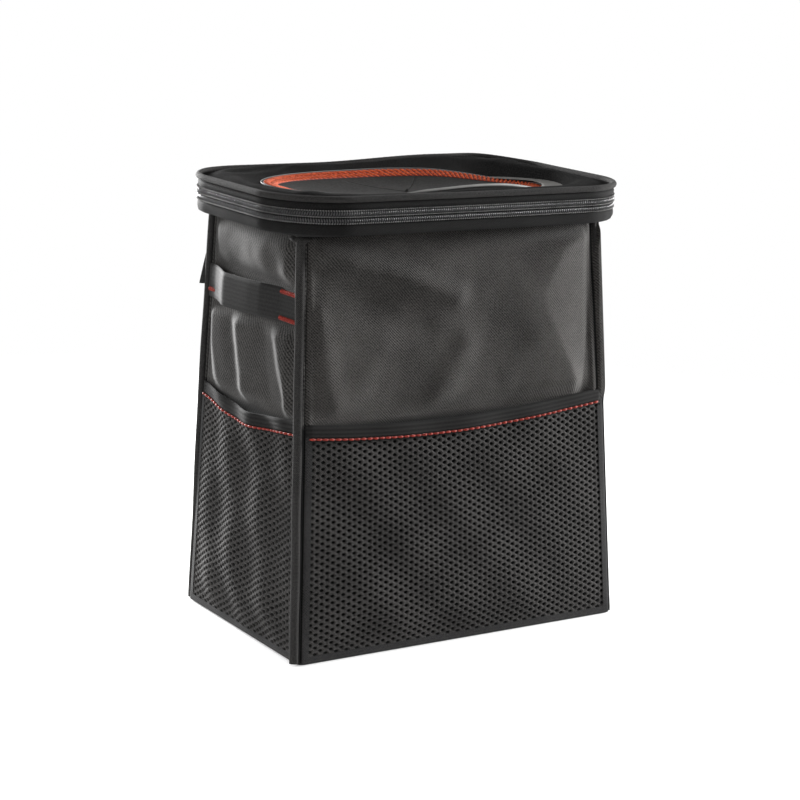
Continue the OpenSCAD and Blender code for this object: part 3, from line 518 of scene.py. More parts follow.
# painted highlight: a pale finish for the glints along the coil's bends
COIL_HIGHLIGHT = moulded("coil highlight", (0.12, 0.118, 0.115), (0.36, 0.355, 0.35), (0.2, 0.35), 1200.0)
METAL = moulded("lacquered metal", (0.05, 0.05, 0.053), (0.09, 0.09, 0.095), (0.25, 0.45), 500.0,
                0.00003, 0.5, 0.8)
BOARD = moulded("board plastic", (0.22, 0.21, 0.20), (0.28, 0.27, 0.26), (0.5, 0.7))
FOAM = moulded("foam", (0.20, 0.20, 0.19), (0.30, 0.29, 0.28), (0.8, 0.95), 400.0, 0.0003, 0.1)
FILM = moulded("liner film", (0.10, 0.103, 0.107), (0.14, 0.144, 0.15), (0.3, 0.5), 120.0, 0.0012)
print("materials in all:", len(bpy.data.materials))

# %% [markdown]
# The cloth walls are one layer sewn at the corners and pulled by what holds it: the corner
# seams, the loops and the pocket seams. On the real bin the front has a long tension fold
# from its upper left corner and a sharp puckered fold by the right seam, and the sides have
# upright folds below the loop. A cloth simulation would make folds somewhere; here they are
# placed where the photograph has them, as soft ridges added to a fine grid.

# %% Folds of the front
FRONT_RIDGES = [  # size in mm, one end, the other end, half width
    (3.6, (-0.104, 0.246), (-0.006, 0.212), 0.0075),
    (-1.3, (-0.100, 0.228), (-0.030, 0.196), 0.010),
    (1.5, (-0.098, 0.205), (-0.088, 0.150), 0.007),
    (1.9, (0.002, 0.182), (-0.024, 0.140), 0.009),
    (1.2, (-0.056, 0.184), (-0.082, 0.150), 0.011)]
# the fold by the right seam: its crest and the valley beyond it, at eight heights
CREASE_V = (0.140, 0.160, 0.178, 0.196, 0.209, 0.221, 0.236, 0.249)
CREASE_U = (0.0860, 0.0785, 0.0700, 0.0600, 0.0570, 0.0630, 0.0730, 0.0950)
VALLEY_U = (0.0905, 0.0925, 0.0945, 0.0965, 0.0980, 0.0995, 0.1015, 0.1045)


def fold_front(u, v):
    up = step_up((v - POCKET + 0.002) / 0.016)
    top = step_up((NECK_Z - v) / 0.010)
    f = 2.3 * (1 - (u / 0.112) ** 4)
    f = f + ridges(u, v, FRONT_RIDGES)
    crease, valley = np.interp(v, CREASE_V, CREASE_U), np.interp(v, CREASE_V, VALLEY_U)
    beyond = np.clip((u - crease) / np.maximum(valley - crease, 0.003), 0, 1)
    before = np.clip((crease - u) / 0.125, 0, 1)
    before = 0.8 * before + 0.2 * step_up(before * 3.5)
    f = f + 7.8 * np.where(u > crease, 1 - beyond**1.15, 1 - before)
    f = f + 0.45 * rumple(u, v, 0.035, 3.1) + 0.16 * rumple(u, v, 0.011, 7.7)
    return f * MM * up * top


print("front folds:", len(FRONT_RIDGES), "ridges and the fold by the right seam")

# %% [markdown]
# Below the loop the side cloth is bunched into three upright pleats. Each rises sharply at its
# crease, rounds off within a few millimetres and sinks slowly, so a low light draws a thin
# bright line along it. The loop presses the cloth flat where it is sewn on.

# %% Folds of the sides
LOOP_AT, LOOP_REACH = 0.2068, 0.0115
SIDE_RIDGES = [  # size in mm, one end, the other end, half width
    (1.4, (-0.056, 0.240), (0.006, 0.236), 0.011),
    (-0.8, (-0.034, 0.222), (0.022, 0.226), 0.008),
    (0.8, (0.020, 0.246), (0.036, 0.222), 0.009)]
PLEATS = [  # heights, places along the wall and size in mm of each crease
    ((0.140, 0.170, 0.200), (-0.0510, -0.0640, -0.070), 3.0),
    ((0.138, 0.178, 0.200), (-0.0165, -0.030, -0.036), 4.3),
    ((0.138, 0.152, 0.168, 0.200), (0.034, 0.0335, 0.025, 0.010), 4.3)]


def loop_mask(v):
    return step_up((np.abs(v - LOOP_AT) - LOOP_REACH) / 0.009)


def pleat(x):
    """The section of a pleat; x is the distance behind its crease."""
    rise = 1 - (1 - np.clip(x / 0.0120, 0, 1)) ** 1.3
    return rise * (1 - np.clip((x - 0.010) / 0.030, 0, 1))


def fold_side(u, v, m):
    """m is 1 where u grows towards the front of the bin, and -1 where it grows to the back."""
    s = u * m
    up = step_up((v - POCKET + 0.003) / 0.011)
    top = step_up((NECK_Z - v) / 0.010)
    above = step_up((v - 0.200) / 0.012)
    f = (1 - above) * 2.0 * (1 - ((s - 0.008) / 0.068) ** 4)
    f = f + above * 4.6 * (1 - ((s - 0.022) / 0.086) ** 2)
    for heights, places, size in PLEATS:
        f = f + size * pleat(s - np.interp(v, heights, places)) * step_up((0.206 - v) / 0.014)
    f = f + ridges(s, v, SIDE_RIDGES)
    f = f + 0.45 * rumple(u, v, 0.03, 11.3) + 0.16 * rumple(u, v, 0.011, 5.2)
    return f * MM * up * top * loop_mask(v)


print("side folds:", len(PLEATS), "pleats and", len(SIDE_RIDGES), "ridges")

# %% [markdown]
# All four walls end in a seam with piping in it. Beside the piping the cloth first rises and
# then dips under it, so the distance to the seam is measured once and used three times: for
# the cloth's height there, for where the folds die out, and for the painted shade in the valley.

# %% Cloth beside the seams
RISE_AT, DIP_AT = 6.8 * MM, 3.4 * MM  # distances from the seam
HIDDEN_FOLDS = 0.45  # the right wall, which the photograph doesn't show, is smoother


def fold(side, u, v):
    if side == "front":
        f = fold_front(u, v)
    elif side in ("left", "right"):
        f = fold_side(u, v, 1 if side == "left" else -1)
        f = f * (1.0 if side == "left" else HIDDEN_FOLDS)
    else:
        f = (0.35 * rumple(u, v, 0.05, 2.2) + 0.25) * MM
    near = seam_distance(side, u, v)
    f = np.maximum(f, -0.1 * MM) * step_up((near - 0.002) / 0.012)
    if side == "front":
        # the cloth comes up again between the last valley and the right seam
        valley = np.interp(v, CREASE_V, VALLEY_U)
        wedge = step_up((u - valley) / np.maximum(half_w(v) - 0.002 - valley, 0.002))
        f = f * (1 - wedge) + 2.4 * MM * wedge * step_up((v - 0.136) / 0.012)
    # the cloth rises beside the seam and then dips under the piping
    f = f + 0.5 * MM * np.exp(-(((near - RISE_AT) / 0.0018) ** 2))
    f = f - 1.1 * MM * np.exp(-(((near - DIP_AT) / 0.0012) ** 2))
    return np.maximum(f, -1.1 * MM)


# how far the piping of each corner lies off the corner itself, seen from above
PIPING_AT = {"fl": (-2.3, 1.9), "fr": (-3.0, 1.2), "bl": (-0.7, 0.4), "br": (0.7, 0.4)}


def seam_distance(side, u, v):
    """Distance to the nearer seam, counted so that the piping's edge comes at the same value."""
    a, b = edges(side, v)
    shift = {"front": (2.6, -2.4), "left": (0.0, -1.9), "right": (1.4, 0.0), "back": (0, 0)}
    low, high = shift[side]
    return np.minimum(u - a + low * MM, b - u + high * MM)


def mark_seam_shade(obj, near):
    """Tells the material how close a point lies to the valley beside a seam, where it paints shade.
    """
    mark = obj.data.attributes.new("seam", "FLOAT", "POINT")
    mark.data.foreach_set("value", np.exp(-(((near - DIP_AT) / 0.0009) ** 2)).ravel())


print("the cloth dips", DIP_AT, "m from each seam")


# %% The four cloth walls
def cloth_wall(side, nu, nv):
    v = np.linspace(1.3 * MM, NECK_Z + 0.4 * MM, nv)[:, None] * np.ones(nu)
    a, b = edges(side, v)
    if side == "back":
        # it reaches a little past the corners, so that nothing shows through under the piping
        a, b = a - 0.8 * MM, b + 0.8 * MM
    t = np.linspace(0, 1, nu)[None, :]
    # columns stand closer together by the seams, where the valleys are
    t = t - 0.145 * np.sin(2 * np.pi * t)
    u = a + (b - a) * t
    pts = on_wall(side, u, v, -fold(side, u, v))
    obj = grid(side + "_cloth", pts, np.stack([u, v], -1))
    mark_seam_shade(obj, seam_distance(side, u, v))
    return thicken(obj, 0.7 * MM)


WALLS = {"front": (WALL, 180, 150), "left": (SIDE_WALL, 124, 150), "right": (SIDE_WALL, 90, 110),
         "back": (BACK_WALL, 90, 80)}  # finish, columns and rows
for side, (finish, nu, nv) in WALLS.items():
    wall = dress(cloth_wall(side, nu, nv), "bin", "oxford_cloth", finish, side + "_panel")

# %% [markdown]
# Piping is a cord wrapped in a strip of cloth and sewn into the seam. It gives the bin its
# thin dark outline. Each one is a tube swept along a line, slightly uneven where the needle
# pulled it in.

# %% A tube along any line
NEEDLE_PITCH = 2.8 * MM


def tube(name, path, radius, sides, closed=False, squeeze=0.0):
    """Sweeps a circle along a line of points. radius may be one value or one for each point."""
    path = np.asarray(path, float)
    n = len(path)
    radius = np.broadcast_to(np.asarray(radius, float), (n,)).copy()
    if closed:
        tangent = np.roll(path, -1, 0) - np.roll(path, 1, 0)
    else:
        tangent = np.gradient(path, axis=0)
    tangent /= np.linalg.norm(tangent, axis=1)[:, None]
    ref = np.array([0.0, 0, 1]) if abs(tangent[0, 2]) < 0.9 else np.array([0.0, 1, 0])
    first = np.cross(tangent, ref)
    first /= np.linalg.norm(first, axis=1)[:, None]
    second = np.cross(tangent, first)
    length = np.concatenate([[0], np.cumsum(np.linalg.norm(np.diff(path, axis=0), axis=1))])
    radius = radius * (1 - squeeze * (0.5 + 0.5 * np.cos(2 * np.pi * length / NEEDLE_PITCH)))
    angle = np.linspace(0, 2 * np.pi, sides, endpoint=False)
    c, s = np.cos(angle)[None, :, None], np.sin(angle)[None, :, None]
    ring = c * first[:, None] + s * second[:, None]
    pts = path[:, None] + ring * radius[:, None, None]
    uv = np.stack(np.broadcast_arrays(angle[None, :] * radius.mean(), length[:, None]), -1)
    obj = grid(name, pts, uv, close_u=True, close_v=closed)
    if not closed:
        # a small cap over each open end
        bm = bmesh.new()
        bm.from_mesh(obj.data)
        bmesh.ops.holes_fill(bm, edges=[e for e in bm.edges if e.is_boundary], sides=0)
        bm.to_mesh(obj.data)
        bm.free()
    return obj


print("tubes are pulled in every", NEEDLE_PITCH, "m")


# %% Piping of the corners
def corner_line(tag, n=90):
    """The piping's middle line, from the floor to the neck, a little off the corner."""
    x = 1 if tag[1] == "r" else -1
    y0, y1 = (-BASE_D / 2, -NECK_F) if tag[0] == "f" else (BASE_D / 2, NECK_B)
    t = np.linspace(0, 1, n)
    z = 1.3 * MM + t * (NECK_Z - 1.6 * MM)
    dx, dy = PIPING_AT[tag]
    if tag == "bl":
        dx = dx + 2.2 * (1 - step_up(t / 0.6))
    wave = 0.15 * np.sin(7 * np.pi * t) * MM
    return np.stack([x * (BASE_W / 2 + (NECK_HW - BASE_W / 2) * t) + dx * MM + x * wave,
                     y0 + (y1 - y0) * t + dy * MM, z], -1)


for tag, radius in (("fl", 2.9), ("fr", 1.9), ("bl", 2.3), ("br", 2.5)):
    piece = tube("corner_seam_" + tag, corner_line(tag), radius * MM, 16, squeeze=0.03)
    dress(piece, "bin", "piping_cloth", PIPING, "corner_piping_" + tag)
# the end of the near piping is folded over and caught under the rim
cap = np.array([(-110.8, -39.6, 248.8), (-110.0, -42.2, 247.9), (-108.2, -44.8, 247.6),
                (-105.6, -46.6, 247.9), (-103.8, -47.0, 248.8)]) * MM
dress(tube("corner_seam_cap", cap, 1.7 * MM, 12), "bin", "piping_cloth", PIPING)
print("piping:", len(PIPING_AT), "corners and a folded end")

# %% [markdown]
# The pockets are warp-knitted net: rows of small holes, each row shifted by half a hole. Real
# gaps matter here, because the dark cloth behind shows through them and the net throws its own
# small shadows on it. So the holes are geometry. Every cell is a six-sided tile of the net with
# three rings of points: its outline on the middle of the threads, the thread's shoulder, and
# the oval hole a little deeper. Tiles that meet share their points, so the threads look round.

# %% Where the nets hang
MOUTH = {"front": [(-106, 142), (-77, 140), (-43, 138), (-7, 138), (30, 140), (75, 143), (102, 146)],
         "side": [(-66, 144), (-49, 142), (-34, 140.5), (-25, 138), (-7, 137.5), (18, 140), (36, 141),
                  (53, 143)]}
MOUTH = {k: np.polynomial.Polynomial.fit(*(np.array(v).T * MM), 4) for k, v in MOUTH.items()}
BULGE = {"front": 8.0 * MM, "left": 7.5 * MM, "right": 7.5 * MM}


def mouth(side, u):
    """Height of the pocket's edge: highest at the seams, sagging between them."""
    return MOUTH["front"](u) if side == "front" else MOUTH["side"](u if side == "left" else -u)


def net_depth(side, u, v):
    """How far the net stands off the wall's face at a place on the wall."""
    a, b = edges(side, v)
    s = np.clip((u - (a + b) / 2) / ((b - a) / 2 - 1.5 * MM), -1, 1)
    t = np.clip(v / POCKET, 0, 1)
    amount = BULGE[side] * (0.72 - 0.36 * t) * step_up(v / (26 * MM))
    shape = 1 - np.abs(s) ** 2.2
    x, z = u / MM, v / MM
    if side == "front":
        wrinkle = 0.45 * np.sin(x * 0.13 + z * 0.10) + 0.35 * np.sin(x * 0.09 - z * 0.14 + 1.3)
    else:
        m = 1 if side == "left" else -1
        wrinkle = 1.3 * np.sin(x * m * 0.17 + z * 0.06 + 0.8 * np.sin(z * 0.045)) \
            + 0.8 * np.sin(x * m * 0.10 - z * 0.09 + 1.3)
    return (0.7 * MM + amount * shape + wrinkle * MM * np.clip(shape * 1.4, 0, 1)
            * step_up(v / (16 * MM)) * 0.8)


def on_net(side, u, v, out=0.0):
    return on_wall(side, u, v, -(net_depth(side, u, v) + out))


print("the front pocket's edge sags to", round(float(mouth("front", 0.0)), 4), "m")


# %% Nets
NET_U, NET_V = 7.2 * MM, 4.0 * MM
HOLE_U, HOLE_V = 1.42 * MM, 0.88 * MM
SHOULDER_IN, HOLE_IN = 0.14 * MM, 0.75 * MM


def weld(obj, distance):
    bm = bmesh.new()
    bm.from_mesh(obj.data)
    bmesh.ops.remove_doubles(bm, verts=bm.verts, dist=distance)
    bm.to_mesh(obj.data)
    bm.free()


def net(side):
    a0, b0 = edges(side, 0.0)
    i, j = np.meshgrid(np.arange(-40, 41), np.arange(0, 70), indexing="ij")
    cu = ((i + (j % 2) * 0.5) * NET_U).ravel()
    cv = (3.2 * MM + j * NET_V / 2).ravel()
    ang = np.radians(np.arange(12) * 30)
    # a flat-topped six-sided tile, with a point in the middle of each side
    six = np.stack([np.cos(ang[::2]) * NET_U / 3, np.sin(ang[::2]) * NET_V / math.sqrt(3)], -1)
    tile = np.stack([six, (six + np.roll(six, -1, 0)) / 2], 1).reshape(12, 2)
    hole = np.stack([np.cos(ang) * HOLE_U, np.sin(ang) * HOLE_V], -1)
    rings = np.concatenate([tile, tile * 0.45 + hole * 0.55, hole])
    u, v = cu[:, None] + rings[:, 0], cv[:, None] + rings[:, 1]

    def taper(u, v):
        a, b = edges(side, v)
        return (a + b) / 2 + u * (b - a) / (b0 - a0)
    mid = taper(cu, cv)
    a, b = edges(side, cv)
    keep = (mid > a + 4.0 * MM) & (mid < b - 4.0 * MM) & (cv < mouth(side, mid) - 6.5 * MM)
    u, v = taper(u[keep], v[keep]), v[keep]
    deep = np.repeat([0.0, SHOULDER_IN, HOLE_IN], 12)
    pts = on_net(side, u.ravel(), v.ravel(), -np.tile(deep, len(u)))
    n = (np.arange(len(u)) * 36)[:, None, None]
    k, r = np.arange(12)[None, None, :], np.array([0, 12])[None, :, None]
    kn = (k + 1) % 12
    o = n + r
    faces = np.stack(np.broadcast_arrays(o + k, o + kn, o + 12 + kn, o + 12 + k), -1)
    obj = new_mesh(side + "_net", pts, faces.reshape(-1, 4), np.stack([u.ravel(), v.ravel()], -1))
    weld(obj, 0.02 * MM)
    return obj


print("net cells", NET_U, "x", NET_V, "m, with holes", 2 * HOLE_U, "x", 2 * HOLE_V, "m")

# %% [markdown]
# A net can't be sewn down by its open cells, so it ends in a plain selvedge along both seams
# and along the floor. Net and selvedge are one sheet of cloth, cut to the wall's own shape.

# %% Selvedges
def join(parts):
    first = parts[0]
    with bpy.context.temp_override(active_object=first, selected_editable_objects=parts,
                                   selected_objects=parts):
        bpy.ops.object.join()
    return first


def net_edge(side):
    """The plain selvedge that closes the net onto the seams and the floor of the pocket."""
    strips, n = [], 70
    t = np.linspace(0, 1, n)[:, None]
    across = np.linspace(0, 1, 7)[None, :]
    for end in (0, 1):
        v = 1.4 * MM + t * (POCKET - 8 * MM) + 0 * across
        a, b = edges(side, v)
        into = (1.6 + 4.4 * across) * MM
        u = a + into if end == 0 else b - into[:, ::-1]
        strips.append((u, v))
    a, b = edges(side, 0.0)
    u = a + 2 * MM + (b - a - 4 * MM) * np.linspace(0, 1, 120)[None, :] + 0 * np.zeros((7, 1))
    strips.append((u, (0.6 + 4.2 * np.linspace(0, 1, 7)[:, None]) * MM + 0 * u))
    parts = []
    for u, v in strips:
        a, b = edges(side, v)
        near = np.minimum(np.minimum(u - a, b - u), v + 1.5 * MM)
        lift = 0.25 * MM * step_up(near / (2.5 * MM)) - 0.9 * MM * (1 - step_up(near / (2.6 * MM)))
        parts.append(grid(side + "_net_edge", on_net(side, u, v, lift), np.stack([u, v], -1)))
    return join(parts)


for side in ("front", "left", "right"):
    piece = dress(net(side), "bin", "net", NET, side + "_mesh")
    edge_piece = dress(net_edge(side), "bin", "net", SELVEDGE)

# %% [markdown]
# An elastic tape folded over the net's edge closes each pocket against the wall. It is smooth,
# with a few fine grooves along its length, a rounded top, and a line of red stitches near its
# lower edge. The stitches are small thread ends that almost touch, because a painted line would
# show neither their height nor their twist.

# %% Bindings
BIND_H, SEW_DOWN = 9.8 * MM, 8.4 * MM


def binding(side, nu):
    a, b = edges(side, POCKET)
    u = np.linspace(a + 1.6 * MM, b - 1.6 * MM, nu)[None, :] * np.ones((21, 1))
    # across the tape: up the outside, over the fold and a little way down the inside
    k = np.linspace(0, 1, 21)[:, None]
    top = mouth(side, u)
    fold_at = 0.82
    up = np.where(k < fold_at, k / fold_at, 1 - (k - fold_at) / (1 - fold_at) * 0.25)
    v = top - BIND_H * (1 - up)
    turn = np.clip((k - 0.72) / 0.2, 0, 1)
    d = net_depth(side, u, np.minimum(v, top)) + 0.8 * MM - 1.6 * MM * step_up(turn)
    d = d - 0.55 * MM * np.exp(-(((BIND_H * (1 - up) - SEW_DOWN) / (1.1 * MM)) ** 2)) * (k < 0.7)
    v = v + 0.35 * MM * np.exp(-(((k - fold_at) / 0.06) ** 2))
    near = np.minimum(u - a, b - u)
    d = d - 1.6 * MM * (1 - step_up((near - 1.6 * MM) / (3 * MM)))
    uv = np.stack(np.broadcast_arrays(u, up * BIND_H), -1)
    return thicken(grid(side + "_pocket_binding", on_wall(side, u, v, -d), uv), 0.35 * MM)


for side, nu in (("front", 160), ("left", 100), ("right", 100)):
    tape_piece = dress(binding(side, nu), "bin", "elastic_binding", BINDING, side + "_binding")
    print(side, "binding:", len(tape_piece.data.polygons), "faces,", BIND_H, "m high")


# %% Rows of stitches
def stitches(name, starts, ends, radius, out, sides=6, arch=0.9):
    """One thread end for each pair of points: thin at its ends, arched outwards by out."""
    starts, ends, out = map(lambda x: np.asarray(x, float), (starts, ends, out))
    rings = 6
    t = np.linspace(0, 1, rings)
    d = ends - starts
    length = np.linalg.norm(d, axis=1, keepdims=True)
    d = d / length
    n = out / np.linalg.norm(out, axis=1, keepdims=True)
    s = np.cross(d, n)
    rise = np.sin(np.pi * t) * radius * arch
    size = radius * np.array([0.45, 0.85, 1.0, 1.0, 0.85, 0.45])
    ang = np.linspace(0, 2 * np.pi, sides, endpoint=False)
    centre = starts[:, None] + d[:, None] * length[:, None] * t[None, :, None]
    centre = centre + n[:, None] * rise[None, :, None]
    ca, sa = np.cos(ang)[None, None, :, None], np.sin(ang)[None, None, :, None]
    ring = (ca * n[:, None, None] + sa * s[:, None, None]) * size[None, :, None, None]
    pts = (centre[:, :, None] + ring).reshape(-1, 3)
    faces = []
    for m in range(len(starts)):
        o = m * rings * sides
        for r in range(rings - 1):
            for q in range(sides):
                q2 = (q + 1) % sides
                faces.append((o + r * sides + q, o + (r + 1) * sides + q,
                              o + (r + 1) * sides + q2, o + r * sides + q2))
        faces.append(tuple(o + q for q in range(sides)))
        faces.append(tuple(o + (rings - 1) * sides + q for q in reversed(range(sides))))
    return new_mesh(name, pts, faces)


STITCH_PITCH, STITCH_FILL = 4.2 * MM, 0.95


def pocket_stitch(side):
    a, b = edges(side, POCKET)
    n = int((b - a - 7 * MM) / STITCH_PITCH)
    u0 = a + 3.5 * MM + np.arange(n) * STITCH_PITCH

    def at(u, out):
        v = mouth(side, u) - SEW_DOWN
        return on_wall(side, u, v, -(net_depth(side, u, v) + out))
    lift = 0.55 * MM
    return stitches(side + "_pocket_thread", at(u0, lift), at(u0 + STITCH_PITCH * STITCH_FILL, lift),
                    0.72 * MM, at(u0, lift + MM) - at(u0, lift))


for side in ("front", "left", "right"):
    row = dress(pocket_stitch(side), "bin", "red_thread", RED, side + "_pocket_stitch")
    print(side, "row of stitches:", len(row.data.polygons) // 32, "threads")

# %% [markdown]
# The side loops and the hanging strap are woven webbing. The webbing is bent, never
# stretched, so each band is swept along its path on the wall and only wavers a little.

# %% Loops and straps
def smooth_path(points, n):
    """n evenly spaced places on a softened line through points (u, depth)."""
    p = np.array(points, float)
    t = np.concatenate([[0], np.cumsum(np.hypot(*np.diff(p, axis=0).T))])
    at = np.linspace(0, t[-1], n)
    kernel = np.hanning(9) / np.hanning(9).sum()

    def soft(v):
        line = np.interp(at, t, v)
        ends = np.concatenate([line[0] - (line[1] - line[0]) * np.arange(4, 0, -1), line,
                               line[-1] + (line[-1] - line[-2]) * np.arange(1, 5)])
        return np.convolve(ends, kernel, "valid")
    return soft(p[:, 0]), soft(p[:, 1])


def strap(name, side, points, z, width, t, wave, n=110, lean=0.0):
    """points are (place along the wall, distance off it); lean tips the far end inwards."""
    s, d = smooth_path(points, n)
    k = np.linspace(-0.5, 0.5, 9)[:, None]
    free = np.clip((d - 1.2 * MM) / (4 * MM), 0, 1)[None, :]
    v = z + k * width + wave * free * np.sin(s / 0.021)[None, :]
    # the free stretch cups slightly and its edges are rounded
    d = d[None, :] * (1 - lean * (k + 0.5) * step_up((np.abs(s) - 0.094) / 0.006))
    w = -(d + t + 0.35 * MM * free * np.cos(k * np.pi) - 0.25 * MM * np.abs(2 * k) ** 6)
    past = np.clip(np.abs(s) - 0.1055, 0, None) * np.sign(s)
    u = s - past * lean * (k + 0.5)
    dist = np.concatenate([[0], np.cumsum(np.abs(np.diff(s)))])
    uv = np.stack(np.broadcast_arrays(dist[None, :], k * width), -1)
    pts = on_wall(side, u, v, w)
    flip = points[0][0] > points[-1][0]
    obj = grid(name, pts[:, ::-1] if flip else pts, uv[:, ::-1] if flip else uv)
    return thicken(obj, t * 0.93)


LOOP_FRONT, LOOP_REAR = 46.3 * MM, 64.3 * MM


def loop_path(q):
    a, b = q * LOOP_FRONT, -q * LOOP_REAR
    m = np.sign(b - a)
    return [(a, 0.3 * MM), (a + m * 0.0205, 0.4 * MM), (a + m * 0.036, 5.8 * MM),
            (a + m * 0.050, 7.0 * MM), (b - m * 0.037, 8.2 * MM), (b - m * 0.032, 8.4 * MM),
            (b - m * 0.020, 4.0 * MM), (b - m * 0.008, 0.8 * MM), (b, 0.3 * MM)]


LOOP_Z, LOOP_W, WEB = 207.3 * MM, 20.3 * MM, 1.5 * MM
for side, q in (("left", 1), ("right", -1)):
    dress(strap(side + "_webbing_loop", side, loop_path(q), LOOP_Z, LOOP_W, WEB, 0.5 * MM), "bin",
          "webbing", WEBBING, side + "_loop")
print("loops at", LOOP_Z, "m, from", -LOOP_REAR, "to", LOOP_FRONT, "m along the wall")


# %% Bar tacks
BAR = 1.35 * MM  # half the width of a tack


def bar_tack(side, u, v, length, depth, upright=False):
    """A dense zigzag of thread across the webbing: pairs of slanted stitches."""
    count = max(5, int(abs(length) / (1.15 * MM)))
    t = np.linspace(-0.5, 0.5, count)
    a = np.stack([u + t * length, v + 0.0 * t], -1)
    b = a + np.array([length / count * 0.9, 0.0])
    a, b = a + np.array([0, -BAR]), b + np.array([0, BAR])
    if upright:
        a, b = [np.stack([u + (p[:, 1] - v), v + (p[:, 0] - u)], -1) for p in (a, b)]
    p = on_wall(side, a[:, 0], a[:, 1], -depth)
    q = on_wall(side, b[:, 0], b[:, 1], -depth)
    out = on_wall(side, a[:, 0], a[:, 1], -depth - 0.01) - p
    return p, q, out


def tacks(name, node_name, side, places, depth, upright=False):
    sets = [bar_tack(side, u, v, length, depth, upright) for u, v, length in places]
    p, q, out = (np.concatenate([s[i] for s in sets]) for i in range(3))
    return dress(stitches(name, p, q, 0.46 * MM, out), "bin", "red_thread", RED, node_name)


for side, q in (("left", 1), ("right", -1)):
    a, b = q * LOOP_FRONT, -q * LOOP_REAR
    spots = [(a - q * 0.0112, LOOP_Z + s * 0.0078, 0.0205) for s in (-1, 1)]
    spots += [(b + q * 0.0045, LOOP_Z - 0.0055, 0.0075)]
    tacks(side + "_loop_thread", side + "_loop_tacks", side, spots, 0.4 * MM + WEB + 0.2 * MM)
    print(side, "loop:", len(spots), "bar tacks")

# %% [markdown]
# The hanging strap runs across the back in two halves with a buckle between them. Its right
# half ends in the buckle's male part, so it goes slack when that is pulled out.

# %% Hanging strap
STRAP_Z, STRAP_W, STRAP_END = 218.5 * MM, 30 * MM, 102.56 * MM
for tag, q in (("left", 1), ("right", -1)):
    path = [(q * 0.1060, 0.2 * MM), (q * 0.1098, 1.6 * MM), (q * 0.1114, 4.2 * MM),
            (q * 0.1095, 6.4 * MM), (q * 0.1035, 5.2 * MM), (q * 0.0965, 1.2 * MM),
            (q * 0.0906, 0.8 * MM), (q * 0.0706, 6.4 * MM),
            (q * 0.050, 6.5 * MM), (q * 0.028, 6.5 * MM)]
    piece = strap("hanging_strap_" + tag, "back", path, STRAP_Z, STRAP_W, WEB, 0.3 * MM, 150, 0.9)
    dress(piece, "bin", "webbing", WEBBING, "back_strap_" + tag)
    if tag == "right":
        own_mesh(piece)
spots = [(q * (STRAP_END - 0.009), STRAP_Z + s * 0.0075, 0.012) for q in (-1, 1) for s in (-1, 1)]
tacks("hanging_strap_thread", "back_strap_tacks", "back", spots, 0.8 * MM + WEB + 0.2 * MM, True)
print("hanging strap at", STRAP_Z, "m, sewn down in", len(spots), "places")

# %% [markdown]
# Rim and lid share one outline seen from above: a rectangle with generous corners. Walking
# along that outline and giving each step a height and an offset makes the funnel, the tapes,
# the band and the piping, so that they meet without fitting.

# %% The rim's outline
RIM_HW, RIM_F, RIM_B, RIM_R = 124 * MM, 65 * MM, 79 * MM, 40 * MM
ZIP_Z = 263 * MM
RIM_MID, RIM_HALF = (RIM_B - RIM_F) / 2, (RIM_B + RIM_F) / 2
FRONT_BOW, SIDE_BOW = 2.5 * MM, 0.8 * MM
# how far the rim's right and left ends sit to the left of the outline
RIGHT_SHIFT, LEFT_SHIFT = 3.0 * MM, 1.4 * MM


def outline(off, n=320):
    """Closed line of n points round the rim, evenly spaced, grown outwards by off."""
    cx, y0, y1 = RIM_HW - RIM_R, RIM_R - RIM_F, RIM_B - RIM_R
    parts = []
    for px, py, a0 in ((cx, y0, -90), (cx, y1, 0), (-cx, y1, 90), (-cx, y0, 180)):
        ang = np.radians(np.linspace(a0, a0 + 90, 25))
        r = RIM_R + off
        parts.append(np.stack([px + r * np.cos(ang), py + r * np.sin(ang)], -1))
    p = np.concatenate(parts + [parts[0][:1]])
    d = np.concatenate([[0], np.cumsum(np.linalg.norm(np.diff(p, axis=0), axis=1))])
    s = np.linspace(0, d[-1], n, endpoint=False)
    q = np.stack([np.interp(s, d, p[:, 0]), np.interp(s, d, p[:, 1])], -1)
    # the soft rim bows out a little between its corners
    t = np.clip(1 - (q[:, 0] / RIM_HW) ** 2, 0, 1)
    u = (q[:, 1] - RIM_MID) / RIM_HALF
    q[:, 1] += np.sign(u) * FRONT_BOW * t * np.abs(u) ** 3 * np.where(u < 0, 1.0, 0.2)
    right, left = step_up((q[:, 0] - 0.05) / 0.07), step_up((-q[:, 0] - 0.05) / 0.07)
    q[:, 0] -= RIGHT_SHIFT * right + LEFT_SHIFT * left
    along = np.abs(q[:, 0] / RIM_HW) ** 3
    q[:, 0] += np.sign(q[:, 0]) * SIDE_BOW * np.clip(1 - u**2, 0, 1) * along
    return q, s


BACK_RISE = 3.0 * MM


def warp(p):
    """The lid isn't flat: its back edge rises towards the right, as in the photograph."""
    p = np.array(p, float)
    lift = BACK_RISE * step_up((p[..., 0] + 0.030) / 0.09) * step_up((p[..., 1] - 0.020) / 0.05)
    p[..., 2] += lift * step_up((0.130 - p[..., 0]) / 0.04)
    return p


def hoop(name, rows, n=320):
    """A band round the rim. rows are (offset, height) from one edge of the band to the other."""
    rings, uvs, across, last = [], [], 0.0, None
    for off, z in rows:
        q, s = outline(off, n)
        rings.append(np.concatenate([q, np.full((n, 1), z)], 1))
        if last is not None:
            across += math.hypot(off - last[0], z - last[1])
        last = (off, z)
        uvs.append(np.stack([s, np.full(n, across)], -1))
    return grid(name, np.array(rings), np.array(uvs), close_u=True)


print("rim", round(2 * RIM_HW, 3), "wide, zipper at", ZIP_Z)

# %% [markdown]
# The funnel joins the square-cornered neck to the round-cornered rim. Each of its rows is a
# blend of the two outlines; the cloth puffs out a little on the way and puckers where the
# corners are gathered in.

